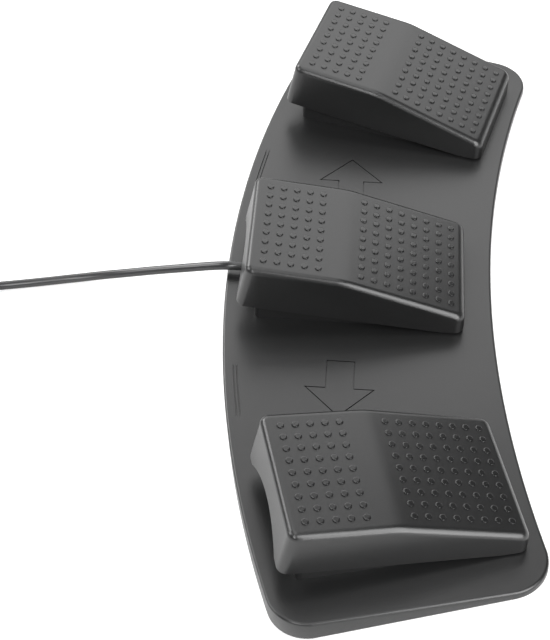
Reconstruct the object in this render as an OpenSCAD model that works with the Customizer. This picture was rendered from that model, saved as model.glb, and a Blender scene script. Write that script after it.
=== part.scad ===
// Foot switch with three pedals on a curved, wedge-shaped tray, and a signal cable with a plug.
// Millimetres. X runs across the tray to the right, Y from the heel side to the toe side, Z up.
// A pedal's own frame lies on the deck: x across the pedal, y from the crease to the toes, z off the deck.

/* [Tray] */
// Radius of the toe-side edge of the tray
outer_r = 567.5; // [520:0.5:640]
// Radius of the heel-side edge of the tray
inner_r = 604.5; // [560:0.5:680]
// Depth of the tray at its middle, from the heel-side edge to the toe-side edge
tray_depth = 130; // [124:0.5:150]
// Distance from the middle pedal's crease to the toe-side edge
crease_to_toe_edge = 57.6; // [55:0.1:70]
// Distance from a side pedal's centre line to the end of the tray
end_margin = 53; // [46:0.5:70]
// Radius of the two corners at the toe side
toe_corner_r = 18; // [12:0.5:30]
// Radius of the two corners at the heel side
heel_corner_r = 19.5; // [12:0.5:30]
// Height of the deck over the bottom edge of the tray, under the middle pedal's crease
deck_h = 9.6; // [9.2:0.1:20]
// Slope of the deck, which rises to the toe side
deck_tilt = 3.8; // [2:0.1:4]
// Thickness of the deck
deck_t = 1.8; // [1.5:0.1:2.2]
// Thickness of the tray's rim
rim_t = 2; // [1.6:0.1:3]
// Rounding of the deck's edge
deck_edge_r = 1.2; // [0.5:0.1:1.6]
// Width of the two short grooves in the deck
groove_w = 1.5; // [0.8:0.1:3]
// Depth of the grooves
groove_depth = 0.8; // [0.4:0.1:1.1]
// Distance of the grooves from the toe-side edge
groove_in = 5; // [4:0.1:6]
// Angle from the tray's middle line at which a groove starts
groove_from = 6.4; // [5:0.1:8]
// Angle over which a groove runs
groove_span = 3.2; // [1:0.1:5]

/* [Pedal places] */
// Distance of a side pedal from the middle one, across the tray
pedal_spread = 141.5; // [125:0.5:165]
// How far a side pedal stands back from the middle one
pedal_setback = 20.3; // [14:0.1:28]
// Turn of the side pedals, toes outwards
pedal_turn = 14.9; // [10:0.1:18]

/* [Pedal cover] */
// Width of a cover
cover_w = 68; // [62:0.5:74]
// Length of the rear slope, from the crease to the toe end
cover_rear = 45.8; // [43:0.1:50]
// Length of the front slope, from the crease to the heel end
cover_front = 58.7; // [57:0.1:62]
// Height of the crease over the deck
crease_h = 29.9; // [29:0.1:36]
// Slope of the rear half
rear_slope = 6.83; // [4:0.01:10]
// Slope of the front half
front_slope = 17.86; // [14:0.01:18.5]
// Half the length over which the crease is blended
crease_blend = 3.8; // [1:0.1:8]
// Wall of the cover
cover_wall = 2.2; // [1.6:0.1:2.8]
// Rounding of the top edge
cover_edge_r = 2.6; // [1:0.1:3.5]
// Radius of the upright corners
cover_corner_r = 4.6; // [3.6:0.1:8]
// Lean of the toe-end wall, wider at its foot
toe_wall_lean = 11.3; // [4:0.1:16]
// Slope of the lower edge at the sides
side_edge_slope = 6.2; // [5.4:0.1:7.5]
// Gap between the cover's lowest edge and the deck
cover_gap = 0.7; // [0.5:0.1:1.5]
// Half the width of the arch in the toe-end wall, at its foot
arch_half_w = 26.2; // [20:0.1:27]
// Height of the arch over the deck
arch_h = 20; // [16:0.1:24]
// Height of the arch's foot over the deck
arch_foot_h = 10.4; // [8:0.1:11]
// Diameter of a grip dot at its foot
dot_d = 3.4; // [2.4:0.1:3.6]
// Height of a grip dot
dot_h = 0.6; // [0.3:0.1:0.8]
// Distance between grip dots across the cover
dot_pitch = 6.5; // [6:0.1:6.8]
// Distance between grip dots along a slope
dot_step = 6.55; // [6:0.05:6.7]

/* [Hinge] */
// Diameter of the hinge pin
pin_d = 3; // [2.5:0.1:3.6]
// Distance of the hinge pin in front of the crease
hinge_front = 46.8; // [45:0.1:50]
// Height of the hinge pin over the deck
hinge_h = 4.6; // [4.4:0.1:5.4]
// Material round the hinge pin, in the ears and the lugs
hinge_web = 2.1; // [1.6:0.1:2.4]
// Thickness of a hinge ear of the housing
ear_t = 5; // [3:0.1:6]
// Thickness of a hinge lug of the cover
lug_t = 4; // [3:0.1:5]
// Half the distance between the two hinge ears
ear_half_gap = 15.5; // [12:0.1:17]
// Travel of a pedal
press_deg = 5; // [3:0.1:5.2]

/* [Housing] */
// Wall of a housing
housing_wall = 2; // [1.6:0.1:2.4]
// Floor of a housing
housing_floor = 1.6; // [1.2:0.1:1.8]
// Height of a housing at its toe end
housing_h = 20; // [19.5:0.1:22]
// Height of a housing at its heel end
housing_heel_h = 5; // [4:0.1:5.6]
// Gap between the housing's sides and the cover's walls
housing_side_gap = 1.8; // [0.5:0.1:2]
// How far the housing's toe end stays inside the cover's toe end
housing_rear_in = 3.5; // [2:0.1:4]
// Distance of the holding screws from the pedal's centre line
screw_side = 22.5; // [21:0.1:23]
// Distance of the holding screws from the crease line
screw_fore_aft = 30; // [28:0.1:31]
// Diameter of the holding screws
screw_d = 3; // [2.5:0.1:3.5]

/* [Return spring] */
// Outside diameter of the spring
spring_d = 12; // [10:0.1:14]
// Diameter of its wire
spring_wire = 1.2; // [0.8:0.1:1.4]
// Number of its turns
spring_turns = 6.5; // [5:0.5:8]
// Length of the spring at rest
spring_len = 20; // [18:0.1:21]
// Distance of the spring behind the crease
spring_rear = 5; // [3:0.1:6]

/* [Switch] */
// Length of the switch, across the pedal
switch_l = 19.8; // [18:0.1:21]
// Width of the switch, along the pedal
switch_w = 6.4; // [5.6:0.1:7]
// Height of the switch
switch_h = 10.2; // [9:0.1:10.6]
// Distance of the switch in front of the crease
switch_front = 27; // [26:0.1:28]
// Diameter of the plunger
plunger_d = 2.6; // [2:0.1:3.2]
// Height of the plunger over the switch at rest
plunger_h = 2.1; // [2:0.1:2.4]

/* [Controller board] */
// Width of the board, across the pedal
board_w = 23; // [20:0.5:24]
// Length of the board, along the pedal
board_l = 20; // [17:0.5:20.5]
// Thickness of the board
board_t = 1.6; // [1:0.1:2]
// Height of the board over the housing's floor
board_lift = 3.4; // [3:0.1:5]

/* [Underside] */
// Thickness of the bottom plate
plate_t = 1.2; // [1:0.1:1.4]
// Diameter of a rubber foot
foot_d = 16; // [12:0.5:20]
// Height of a rubber foot
foot_h = 1.5; // [1.2:0.1:4]

/* [Cable and plug] */
// Diameter of the cable
cable_d = 4.4; // [3.8:0.1:4.6]
// Height of the cable's middle over the deck where it leaves the housing
cable_h = 4.4; // [4.3:0.1:4.8]
// Distance between neighbouring turns of the coil
coil_pitch = 5; // [4.9:0.1:5.2]
// Number of turns in each layer of the coil
coil_layer_turns = 3; // [2:1:3]
// Width of the plug's grip
grip_w = 16; // [14:0.5:18]
// Thickness of the plug's grip
grip_t = 7.6; // [7:0.1:9]
// Length of the plug's grip
grip_l = 24; // [20:0.5:32]
// Width of the plug's metal shell
shell_w = 12; // [12:0.1:12]
// Thickness of the plug's metal shell
shell_t = 4.5; // [4.5:0.1:4.5]
// Length of the plug's metal shell
shell_l = 12; // [11:0.5:19]

/* [Hidden] */
SIDES = ["left", "middle", "right"];
function each_side(stem) = [for (s = SIDES) str(stem, "_", s)];

$fn = 48;
// Room for a piece that seats in another of the same body
seat_gap = 0.03;
// Radial room of a pin or plunger that turns or slides
run_gap = 0.05;
// Room between pieces that move past each other
free_gap = 0.4;
// Depth by which fused shapes sink into each other
sink = 0.6;
// Length by which a cutting shape passes the piece that it cuts
beyond = 1;

moulding = "#3b3c3f";
inner_plastic = "#2b2c2e";
steel = "#b9bcc0";
rubber = "#1d1d1f";

// Places of the pedals on the deck
PLACES = [[-pedal_spread, -pedal_setback], [0, 0], [pedal_spread, -pedal_setback]];
TURNS = [pedal_turn, 0, -pedal_turn];

// Outline of the tray in plan, from the middle pedal's crease
toe_centre = [0, crease_to_toe_edge - outer_r];
heel_centre = [0, crease_to_toe_edge - tray_depth - inner_r];
end_normal = [cos(pedal_turn), -sin(pedal_turn)];
end_along = [sin(pedal_turn), cos(pedal_turn)];
end_reach = PLACES[2] * end_normal + end_margin;
// Centre of a corner that touches the tray's end and a circle, at corner radius r and circle distance reach
function corner_centre(circle, reach, r) =
    let (across = end_reach - r)
    across * end_normal
    + (circle * end_along + sqrt(reach * reach - pow(across - circle * end_normal, 2))) * end_along;
toe_corner = corner_centre(toe_centre, outer_r - toe_corner_r, toe_corner_r);
heel_corner = corner_centre(heel_centre, inner_r + heel_corner_r, heel_corner_r);
function heading(v) = atan2(v[1], v[0]);
function arc(centre, r, from, to, steps) =
    [for (i = [0:steps - 1]) let (a = from + (to - from) * i / steps) centre + r * [cos(a), sin(a)]];
// Half of the outline, drawn in by d, from the middle of the toe side to the middle of the heel side
function half_outline(d) =
    let (toe_turn = heading(toe_corner - toe_centre))
    let (heel_turn = heading(heel_corner - heel_centre))
    concat(
        arc(toe_centre, outer_r - d, 90, toe_turn, 14),
        arc(toe_corner, toe_corner_r - d, toe_turn, -pedal_turn, 7),
        arc(heel_corner, heel_corner_r - d, -pedal_turn, heel_turn - 180, 7),
        arc(heel_centre, inner_r + d, heel_turn, 90, 14),
        [heel_centre + [0, inner_r + d]]
    );
// A closed outline from the half at the right, whose first and last points are on the middle line
function both_halves(half) =
    concat(half, [for (i = [len(half) - 2:-1:1]) [-half[i][0], half[i][1]]]);
function outline(d) = both_halves(half_outline(d));

// Place of the deck in the part's frame, whose origin is under the middle of the tray
centre_y = (heel_corner_r - heel_corner[1] - crease_to_toe_edge) / 2;
deck_z = foot_h + deck_h;
function deck_level(y) = deck_z + y * tan(deck_tilt);
function deck_point(p) = [
    p[0],
    p[1] * cos(deck_tilt) - p[2] * sin(deck_tilt) + centre_y,
    p[1] * sin(deck_tilt) + p[2] * cos(deck_tilt) + deck_z
];
function pedal_point(i, p) = deck_point([
    PLACES[i][0] + p[0] * cos(TURNS[i]) - p[1] * sin(TURNS[i]),
    PLACES[i][1] + p[0] * sin(TURNS[i]) + p[1] * cos(TURNS[i]),
    p[2]
]);

// Shape of the cover's top along the pedal
rear_rise = tan(rear_slope);
front_rise = tan(front_slope);
function top_h(y) =
    y > crease_blend ? crease_h + rear_rise * y
    : y < -crease_blend ? crease_h + front_rise * y
    : crease_h + front_rise * y + (rear_rise - front_rise) * pow(y + crease_blend, 2) / (4 * crease_blend);
cover_half = cover_w / 2;
toe_lean = tan(toe_wall_lean);
toe_top_h = top_h(cover_rear);
lower_start = -hinge_front;
function lower_h(y) = cover_gap + max(0, (y - lower_start) * tan(side_edge_slope));
toe_foot_h = lower_h(cover_rear + 4);
toe_foot = cover_rear + (toe_top_h - toe_foot_h) * toe_lean;
// Outline of a cover, drawn in by d, with its toe end at y = toe: the right half, then its mirror image
function half_cover(toe, d) =
    let (x = cover_half - cover_corner_r)
    let (r = cover_corner_r - d)
    concat(
        arc([x, toe - cover_corner_r], r, 90, 0, 5),
        [for (y = [toe - cover_corner_r, crease_blend, 0, -crease_blend]) [x + r, y]],
        arc([x, cover_corner_r - cover_front], r, 0, -90, 5),
        [[x, d - cover_front]]
    );
function cover_outline(toe, d) =
    let (half = half_cover(toe, d))
    concat(half, [for (i = [len(half) - 1:-1:0]) [-half[i][0], half[i][1]]]);
// Grip dots: how many stand across a cover and along each slope, and where a slope's first row stands
dots_across = 9;
dots_rear = 5;
dots_front = 8;
rear_dots_y = 12.2;
front_dots_y = -8.1;
dot_top_d = dot_d * 0.6;
// Diameter of a dot where it is sunk into the cover's wall
dot_root_d = dot_top_d + (dot_d - dot_top_d) * (dot_h + sink) / dot_h;

// Hinge, housing and what is in it
hinge_y = -hinge_front;
hinge_r = pin_d / 2 + hinge_web;
lug_in = ear_half_gap + ear_t + free_gap;
pin_half = lug_in + lug_t + free_gap;
housing_half = cover_half - cover_wall - housing_side_gap;
housing_toe = cover_rear - housing_rear_in;
housing_heel = hinge_y + hinge_r + 3 * free_gap;
housing_corner_r = 3;
// Length over which a housing's top edge is level at both ends
housing_level = 7;
post_r = screw_d / 2 + 1.9;
post_h = 8;
screw_head_r = screw_d * 0.95;
screw_head_t = 1.8;
spring_mean_r = (spring_d - spring_wire) / 2;
// Room between the spring and what it touches
spring_room = 0.1;
spring_pin_r = spring_d / 2 - spring_wire - 6 * spring_room;
spring_pin_h = 4;
spring_rings = 8;
spring_top = housing_floor + spring_len;
switch_y = -switch_front;
switch_top = housing_floor + switch_h;
plunger_top = switch_top + plunger_h;
plunger_stem = 3.4;
plunger_chamfer = 0.4;
plunger_travel = (hinge_front - switch_front) * press_deg * PI / 180;
rib_half_w = 5;
rib_r = 1.5;
plunger_gap = 0.36;
rib_tip = plunger_top + plunger_gap;
switch_screw_d = 2.2;
switch_screw_side = switch_l / 2 - 5.2;
switch_screw_h = housing_floor + 2.8;
switch_screw_head_t = 1.2;
bracket_t = 2;
bracket_h = switch_h - 2;
hook_in = 14;
hook_w = 8;
hook_t = 2;
hook_barb = 3;
hook_tip = 3.4;
hook_toe = housing_toe - housing_wall - 2.1;
hook_top = housing_h - 3.6;
hook_low = hook_top - hook_tip;
hook_drop = (hook_toe + hook_barb - hinge_y) * sin(press_deg);
relief_block_l = 4;
relief_block_half = 3.4;
relief_block_h = 6;
relief_neck_r = 2.6;
relief_flange_r = 3.6;
relief_flange_t = 1.5;
relief_sleeve_r = 3;
relief_tip_r = cable_d / 2 + 0.4;
relief_l = 8;
// Room between the strain relief's block and the board
relief_room = 0.8;
board_toe = housing_toe - housing_wall - relief_block_l - relief_room;
board_heel = board_toe - board_l;
board_z = housing_floor + board_lift;
board_top = board_z + board_t;
board_screw_d = 2;
board_head_t = 1.2;
board_screw_side = board_w / 2 - 2.4;
board_screw_y = board_toe - 5;
chip_l = 7;
chip_t = 1.2;
chip_from = 8.5;
socket_h = 3.5;
socket_l = 5;
socket_w = 4;
wire_d = 2;
wire_side = 14.2;
wire_hole_d = wire_d + 2;
wire_hole_y = 12;
wire_h = housing_floor + wire_d + 1;
wire_under = -deck_t - wire_d / 2 - 0.5;
socket_h_mid = board_top + socket_h / 2;
side_socket_y = board_heel + 4;
// Sides of a pedal on which a wire goes down through the deck
WIRE_SIDES = [[1], [-1, 1], [-1]];

// Screws and feet of the underside, at the right half and mirrored
function toe_edge(x) = toe_centre[1] + sqrt(outer_r * outer_r - x * x);
function heel_edge(x) = heel_centre[1] + sqrt(inner_r * inner_r - x * x);
between_x = pedal_spread / 2;
plate_gap = 0.2;
plate_screw_d = 2.5;
plate_screw_bite = 2.2;
plate_head_r = 2.3;
plate_head_t = 1;
boss_r = plate_screw_d / 2 + 2;
PLATE_SCREWS = [
    [between_x, toe_edge(between_x) - 15],
    [between_x, heel_edge(between_x) + 22],
    toe_corner,
    heel_corner
];
FEET = [
    [between_x, toe_edge(between_x) - 33],
    [between_x, heel_edge(between_x) + 40],
    toe_corner - 22 * end_along,
    heel_corner - [20, -3]
];
foot_chamfer = 0.6;
rib_t = 1.5;
// More than the greatest height of the tray
tray_tall = 4 * deck_h;
rib_foot = foot_h + plate_t;
// Stretch of a rib that is left open for a wire
rib_gap = [-9, 22];

// Cable and coil in the part's frame
relief_end = housing_toe + relief_l;
coil_centre = [-30.2, 221];
coil_out_r = 28.5;
coil_in_r = coil_out_r - coil_layer_turns * coil_pitch;
coil_layers = 4;
coil_turns = coil_layers * coil_layer_turns + 0.25;
coil_rings = 24;
tie_t = 0.8;
tie_w = 4;
tie_gap = 0.15;
tie_corner_r = 1.6;
coil_z = tie_t + tie_gap + cable_d / 2;
coil_top_z = coil_z + (coil_layers - 1) * coil_pitch;
cord_z = cable_d / 2 + run_gap;
LEAD_POINTS = concat(
    [pedal_point(1, [0, relief_end, cable_h]), pedal_point(1, [0, relief_end + cable_d, cable_h])],
    [
        [0.3, 77, 18.8], [1.4, 83, 17.4], [2.8, 90, 15.3], [4.3, 98, 12.9], [5.7, 107, 10.5],
        [6.8, 116, 8.3], [7.5, 124, 6.5], [7.9, 132, 5], [8, 140, 3.8], [7.6, 148, 2.9],
        [6.7, 157, 2.3]
    ],
    [for (p = [[5.2, 166], [3.7, 175], [2.3, 184], [1, 193], [-0.2, 202]]) [p[0], p[1], cord_z]],
    [
        [-1.4, 208, cord_z + 0.5],
        [coil_centre[0] + coil_out_r, coil_centre[1] - 2 * cable_d, coil_z],
        [coil_centre[0] + coil_out_r, coil_centre[1] - cable_d, coil_z]
    ]
);
// Height and radius of the coil's middle line after t turns
function climbed(t) =
    [for (k = [1:coil_layers - 1]) max(0, min(1, (t - k * coil_layer_turns) * 2 + 0.5))]
    * [for (k = [1:coil_layers - 1]) 1];
function coil_r(t) =
    let (layer = min(floor(t / coil_layer_turns), coil_layers - 1))
    let (turned = t - layer * coil_layer_turns)
    layer % 2 == 0 ? coil_out_r - coil_pitch * turned : coil_in_r + coil_pitch * turned;
function coil_point(t) = [
    coil_centre[0] + coil_r(t) * cos(360 * t),
    coil_centre[1] + coil_r(t) * sin(360 * t),
    coil_z + coil_pitch * climbed(t)
];
coil_end = coil_point(coil_turns);
COIL_POINTS = concat(
    [coil_point(0) - [0, cable_d, 0]],
    [for (i = [0:coil_turns * coil_rings]) coil_point(i / coil_rings)],
    [coil_end - [cable_d, 0, 0]]
);
// Tail of the cable: distance beyond the coil, and the share of the way down to the plug
TAIL_DROP = [
    [0, 0], [3, 0], [8, 0.05], [14, 0.2], [20, 0.41], [27, 0.66], [34, 0.87], [40, 0.97], [46, 1], [50, 1]
];
plug_z = grip_t / 2;
TAIL_POINTS = [
    for (p = TAIL_DROP)
    [coil_end[0] - cable_d - p[0], coil_end[1], coil_end[2] + p[1] * (plug_z - coil_end[2])]
];
plug_start = TAIL_POINTS[len(TAIL_POINTS) - 1];
grip_boot_l = 8;
grip_r = 2.4;
shell_wall = 0.3;
shell_window = 2.4;
tongue_t = 1.9;
tongue_in = 0.6;

// Least gap between parts of a wound tube that are more than half a turn apart
function least_gap(p, d, rings) =
    min([
        for (i = [0:len(p) - 1], j = [i + floor(rings / 2):len(p) - 1])
        norm(p[i] - p[j]) - d
    ]);
echo(coil_gap = least_gap(COIL_POINTS, cable_d, coil_rings));  // cable_coil

// Sweeps a tube with n sides along points, from one flat end to the other
function unit(v) = v / norm(v);
function tangent(p, i) = unit(p[min(i + 1, len(p) - 1)] - p[max(i - 1, 0)]);
function sideways(t) = unit(cross(t, abs(t[2]) < 0.9 ? [0, 0, 1] : [0, 1, 0]));
function ring_about(c, t, r, n) =
    let (s = sideways(t))
    let (u = cross(s, t))
    [for (k = [0:n - 1]) let (a = 360 * (k + 0.5) / n) c + r * (cos(a) * s + sin(a) * u)];
function side_faces(m, n) = [
    for (i = [0:m - 2], k = [0:n - 1])
    let (a = i * n, b = (k + 1) % n)
    each [[a + k, a + b, a + n + b], [a + k, a + n + b, a + n + k]]
];
module tube(points, d, n) {
    m = len(points);
    polyhedron(
        points = [for (i = [0:m - 1]) each ring_about(points[i], tangent(points, i), d / 2, n)],
        faces = concat(
            [[for (k = [n - 1:-1:0]) k]],
            side_faces(m, n),
            [[for (k = [0:n - 1]) (m - 1) * n + k]]
        )
    );
}
// Joins rings of equal count, each above the last, into one closed solid with the given end faces
module loft(rings, bottom, top) {
    n = len(rings[0]);
    m = len(rings);
    polyhedron(
        points = [for (r = rings) each r],
        faces = concat(bottom, side_faces(m, n), [for (f = top) [for (k = f) (m - 1) * n + k]])
    );
}
// End faces as cross strips over a ring of n points whose second half mirrors the first
function strips(n, up) = [
    for (i = [0:n / 2 - 2])
    let (a = i, b = i + 1, c = n - i - 2, d = n - i - 1)
    each up ? [[a, b, c], [a, c, d]] : [[c, b, a], [d, c, a]]
];

module on_deck() {
    translate([0, centre_y, deck_z]) rotate([deck_tilt, 0, 0]) children();
}
module at_pedal(i) {
    on_deck() translate([PLACES[i][0], PLACES[i][1], 0]) rotate([0, 0, TURNS[i]]) children();
}
// Extrudes a shape drawn in y and z across the pedal
module across(from, to) {
    translate([from, 0, 0]) rotate([90, 0, 90]) linear_extrude(to - from) children();
}
module both_sides() {
    children();
    mirror([1, 0, 0]) children();
}
module at_screws() {
    for (x = [-1, 1], y = [-1, 1]) translate([x * screw_side, y * screw_fore_aft, 0]) children();
}
module at_plate_screws() {
    for (p = PLATE_SCREWS) both_sides() translate([p[0], p[1] + centre_y, foot_h]) children();
}
// A rectangle with round corners, from the lower left corner to the upper right one
module rounded(from, to, r) {
    translate([from[0] + r, from[1]]) square([to[0] - from[0] - 2 * r, to[1] - from[1]]);
    translate([from[0], from[1] + r]) square([to[0] - from[0], to[1] - from[1] - 2 * r]);
    for (x = [from[0] + r, to[0] - r], y = [from[1] + r, to[1] - r]) translate([x, y]) circle(r);
}

// Tray: a wedge with a rounded deck edge, open below, with ribs and screw bosses
function tray_ring(inset, drop) = [for (p = outline(inset)) [p[0], p[1], deck_level(p[1]) - drop]];
module tray_block() {
    rings = concat(
        [[for (p = outline(0)) [p[0], p[1], foot_h]]],
        [for (a = [0:30:90]) tray_ring(deck_edge_r * (1 - cos(a)), deck_edge_r * (1 - sin(a)))]
    );
    n = len(rings[0]);
    loft(rings, [[for (k = [n - 1:-1:0]) k]], [[for (k = [0:n - 1]) k]]);
}
module tray_cavity(grow) {
    intersection() {
        translate([0, 0, foot_h - beyond]) linear_extrude(tray_tall) polygon(outline(rim_t - grow));
        translate([0, 0, deck_z - deck_t + grow]) rotate([deck_tilt, 0, 0])
            translate([-pedal_spread * 2, -tray_depth * 2, -tray_tall])
                cube([pedal_spread * 4, tray_depth * 4, tray_tall]);
    }
}
module tray_ribs() {
    for (share = [1 / 3, 2 / 3], end = [0, 1]) {
        x = share * pedal_spread;
        from = end == 0 ? heel_edge(x) : rib_gap[1];
        to = end == 0 ? rib_gap[0] : toe_edge(x);
        both_sides() translate([x - rib_t / 2, from, rib_foot]) cube([rib_t, to - from, tray_tall]);
    }
    for (p = PLATE_SCREWS) both_sides() translate([p[0], p[1], rib_foot]) cylinder(r = boss_r, h = tray_tall);
}
module deck_groove() {
    translate([toe_centre[0], toe_centre[1], 0])
        rotate([0, 0, 90 + groove_from])
            rotate_extrude(angle = groove_span)
                translate([outer_r - groove_in - groove_w, -groove_depth])
                    square([groove_w, groove_depth + beyond]);
}
module wire_holes(i) {
    for (s = WIRE_SIDES[i])
        translate([s * wire_side, wire_hole_y, -deck_t - beyond])
            cylinder(d = wire_hole_d, h = deck_t + housing_floor + 2 * beyond);
}
module base_tray() {
    color(moulding)
    difference() {
        translate([0, centre_y, 0]) union() {
            difference() {
                tray_block();
                tray_cavity(0);
            }
            intersection() {
                tray_ribs();
                tray_cavity(sink);
            }
        }
        at_plate_screws()
            cylinder(d = plate_screw_d + 2 * seat_gap, h = plate_t + plate_screw_bite + 2 * plate_gap);
        for (i = [0:2]) at_pedal(i) {
            at_screws()
                translate([0, 0, -deck_t - beyond])
                    cylinder(d = screw_d + 2 * seat_gap, h = deck_t + 2 * beyond);
            wire_holes(i);
        }
        on_deck() both_sides() deck_groove();
    }
}

// Underside
module plate_screw(gap) {
    cylinder(r1 = plate_head_r + gap, r2 = plate_screw_d / 2 + gap, h = plate_head_t);
    cylinder(d = plate_screw_d + 2 * gap, h = plate_t + plate_screw_bite);
}
module bottom_plate() {
    color(inner_plastic)
    difference() {
        translate([0, centre_y, foot_h]) linear_extrude(plate_t) polygon(outline(rim_t + plate_gap));
        at_plate_screws() plate_screw(seat_gap);
    }
}
module bottom_screws() {
    color(steel) at_plate_screws() plate_screw(0);
}
module rubber_feet() {
    r = foot_d / 2;
    color(rubber)
    for (p = FEET) both_sides() translate([p[0], p[1] + centre_y, 0])
        rotate_extrude()
            polygon([[0, 0], [r - foot_chamfer, 0], [r, foot_chamfer], [r, foot_h], [0, foot_h]]);
}

// Housing: the fixed lower shell of a pedal
module housing_shell() {
    corner = [housing_half, housing_toe];
    heel = [-housing_half, housing_heel];
    inset = [housing_wall, housing_wall];
    intersection() {
        difference() {
            linear_extrude(housing_h) rounded(heel, corner, housing_corner_r);
            translate([0, 0, housing_floor]) linear_extrude(housing_h)
                rounded(heel + inset, corner - inset, housing_corner_r - housing_wall / 2);
        }
        across(-cover_w, cover_w) polygon([
            [housing_heel - beyond, -beyond],
            [housing_toe + beyond, -beyond],
            [housing_toe + beyond, housing_h],
            [housing_toe - housing_level, housing_h],
            [housing_heel + housing_level, housing_heel_h],
            [housing_heel - beyond, housing_heel_h]
        ]);
    }
}
module hinge_ears() {
    both_sides() across(ear_half_gap, ear_half_gap + ear_t) {
        translate([hinge_y, hinge_h]) circle(hinge_r);
        translate([hinge_y - hinge_r, 0]) square([2 * hinge_r, hinge_h]);
        translate([hinge_y, 0]) square([housing_heel - hinge_y + sink, housing_heel_h - sink]);
    }
}
module board_posts(d, h) {
    for (x = [-1, 1]) translate([x * board_screw_side, board_screw_y, 0]) cylinder(d = d, h = h);
}
module hook_window() {
    low = hook_low - hook_drop - 2 * free_gap;
    translate([hook_in - 2 * free_gap, housing_toe - housing_wall - beyond, low])
        cube([hook_w + 4 * free_gap, housing_wall + 2 * beyond, hook_top + free_gap - low]);
}
module housing(i) {
    color(moulding)
    difference() {
        union() {
            housing_shell();
            hinge_ears();
            at_screws() cylinder(r = post_r, h = post_h);
            translate([0, spring_rear, 0]) cylinder(r = spring_pin_r, h = housing_floor + spring_pin_h);
            translate([-switch_l / 2, switch_y + switch_w / 2, housing_floor - sink])
                cube([switch_l, bracket_t, bracket_h + sink]);
            if (i == 1) board_posts(board_screw_d + 3, board_z);
        }
        at_screws() translate([0, 0, -beyond]) cylinder(d = screw_d + 2 * seat_gap, h = post_h);
        translate([-cover_w / 2, hinge_y, hinge_h]) rotate([0, 90, 0])
            cylinder(d = pin_d + 2 * seat_gap, h = cover_w);
        for (x = [-1, 1]) translate([x * switch_screw_side, switch_y, switch_screw_h]) rotate([-90, 0, 0])
            cylinder(d = switch_screw_d + 2 * seat_gap, h = switch_w);
        both_sides() hook_window();
        wire_holes(i);
        if (i == 1) {
            translate([0, housing_toe + beyond, cable_h]) rotate([90, 0, 0])
                cylinder(r = relief_neck_r + seat_gap, h = housing_wall + 2 * beyond);
            translate([0, 0, board_z - board_lift / 2])
                board_posts(board_screw_d + 2 * seat_gap, board_lift);
        }
    }
}
module housing_screws() {
    color(steel)
    for (i = [0:2]) at_pedal(i) at_screws() translate([0, 0, -deck_t]) {
        translate([0, 0, -screw_head_t]) cylinder(r = screw_head_r, h = screw_head_t);
        cylinder(d = screw_d, h = deck_t + post_h - 2 * beyond);
    }
}
module hinge_pin() {
    color(steel)
    translate([-pin_half, hinge_y, hinge_h]) rotate([0, 90, 0]) cylinder(d = pin_d, h = 2 * pin_half);
}

// Cover: a rocker-shaped shell with a creased top, a leaning toe end and an arch in it
function cover_ring(toe, d, drop) = [for (p = cover_outline(toe, d)) [p[0], p[1], top_h(p[1]) - drop]];
function cover_foot(toe, d, drop) = [for (p = cover_outline(toe, d)) [p[0], p[1], lower_h(p[1]) - drop]];
module cover_block() {
    toe = cover_rear + cover_edge_r * toe_lean;
    rings = concat(
        [cover_foot(toe_foot, 0, 0)],
        [for (a = [0:22.5:90]) cover_ring(toe, cover_edge_r * (1 - cos(a)), cover_edge_r * (1 - sin(a)))]
    );
    loft(rings, strips(len(rings[0]), false), strips(len(rings[0]), true));
}
module cover_cavity(grow) {
    wall = cover_wall - grow;
    rings = [
        cover_foot(toe_foot + toe_lean, wall, 1),
        cover_ring(cover_rear + cover_wall * toe_lean, wall, wall / cos(front_slope))
    ];
    loft(rings, strips(len(rings[0]), false), strips(len(rings[0]), true));
}
module hinge_lugs() {
    both_sides() across(lug_in, lug_in + lug_t) {
        translate([hinge_y, hinge_h]) circle(hinge_r);
        polygon([
            [hinge_y - hinge_r, hinge_h],
            [hinge_y + hinge_r, hinge_h],
            [hinge_y + hinge_r + 2, crease_h],
            [hinge_y - hinge_r - 1, crease_h]
        ]);
    }
}
module spring_boss() {
    translate([0, spring_rear, spring_top]) cylinder(r = spring_d / 2 + 1, h = crease_h);
    translate([0, spring_rear, spring_top - spring_pin_h])
        cylinder(r = spring_pin_r, h = spring_pin_h + sink);
}
module actuator_rib() {
    across(-rib_half_w, rib_half_w) {
        translate([switch_y, rib_tip + rib_r]) circle(rib_r);
        translate([switch_y - rib_r, rib_tip + rib_r]) square([2 * rib_r, crease_h]);
    }
}
module stop_hooks() {
    both_sides() across(hook_in, hook_in + hook_w) polygon([
        [hook_toe - hook_t, hook_low],
        [hook_toe, hook_low],
        [hook_toe + hook_barb, hook_top - 2 * free_gap],
        [hook_toe + hook_barb, hook_top],
        [hook_toe, hook_top],
        [hook_toe, 2 * crease_h],
        [hook_toe - hook_t, 2 * crease_h]
    ]);
}
module dot_grid(count, step) {
    for (i = [0:dots_across - 1], k = [0:count - 1])
        translate([(i - (dots_across - 1) / 2) * dot_pitch, k * step, -sink])
            cylinder(d1 = dot_root_d, d2 = dot_top_d, h = dot_h + sink, $fn = 16);
}
module grip_dots() {
    translate([0, rear_dots_y, top_h(rear_dots_y)]) rotate([rear_slope, 0, 0]) dot_grid(dots_rear, dot_step);
    translate([0, front_dots_y, top_h(front_dots_y)]) rotate([front_slope, 0, 0])
        dot_grid(dots_front, -dot_step);
}
module arch_cut() {
    rise = arch_h - arch_foot_h;
    r = (rise * rise + arch_half_w * arch_half_w) / (2 * rise);
    translate([0, hook_toe + hook_barb + free_gap, arch_h - r]) rotate([-90, 0, 0])
        cylinder(r = r, h = arch_half_w, $fn = 96);
}
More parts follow.
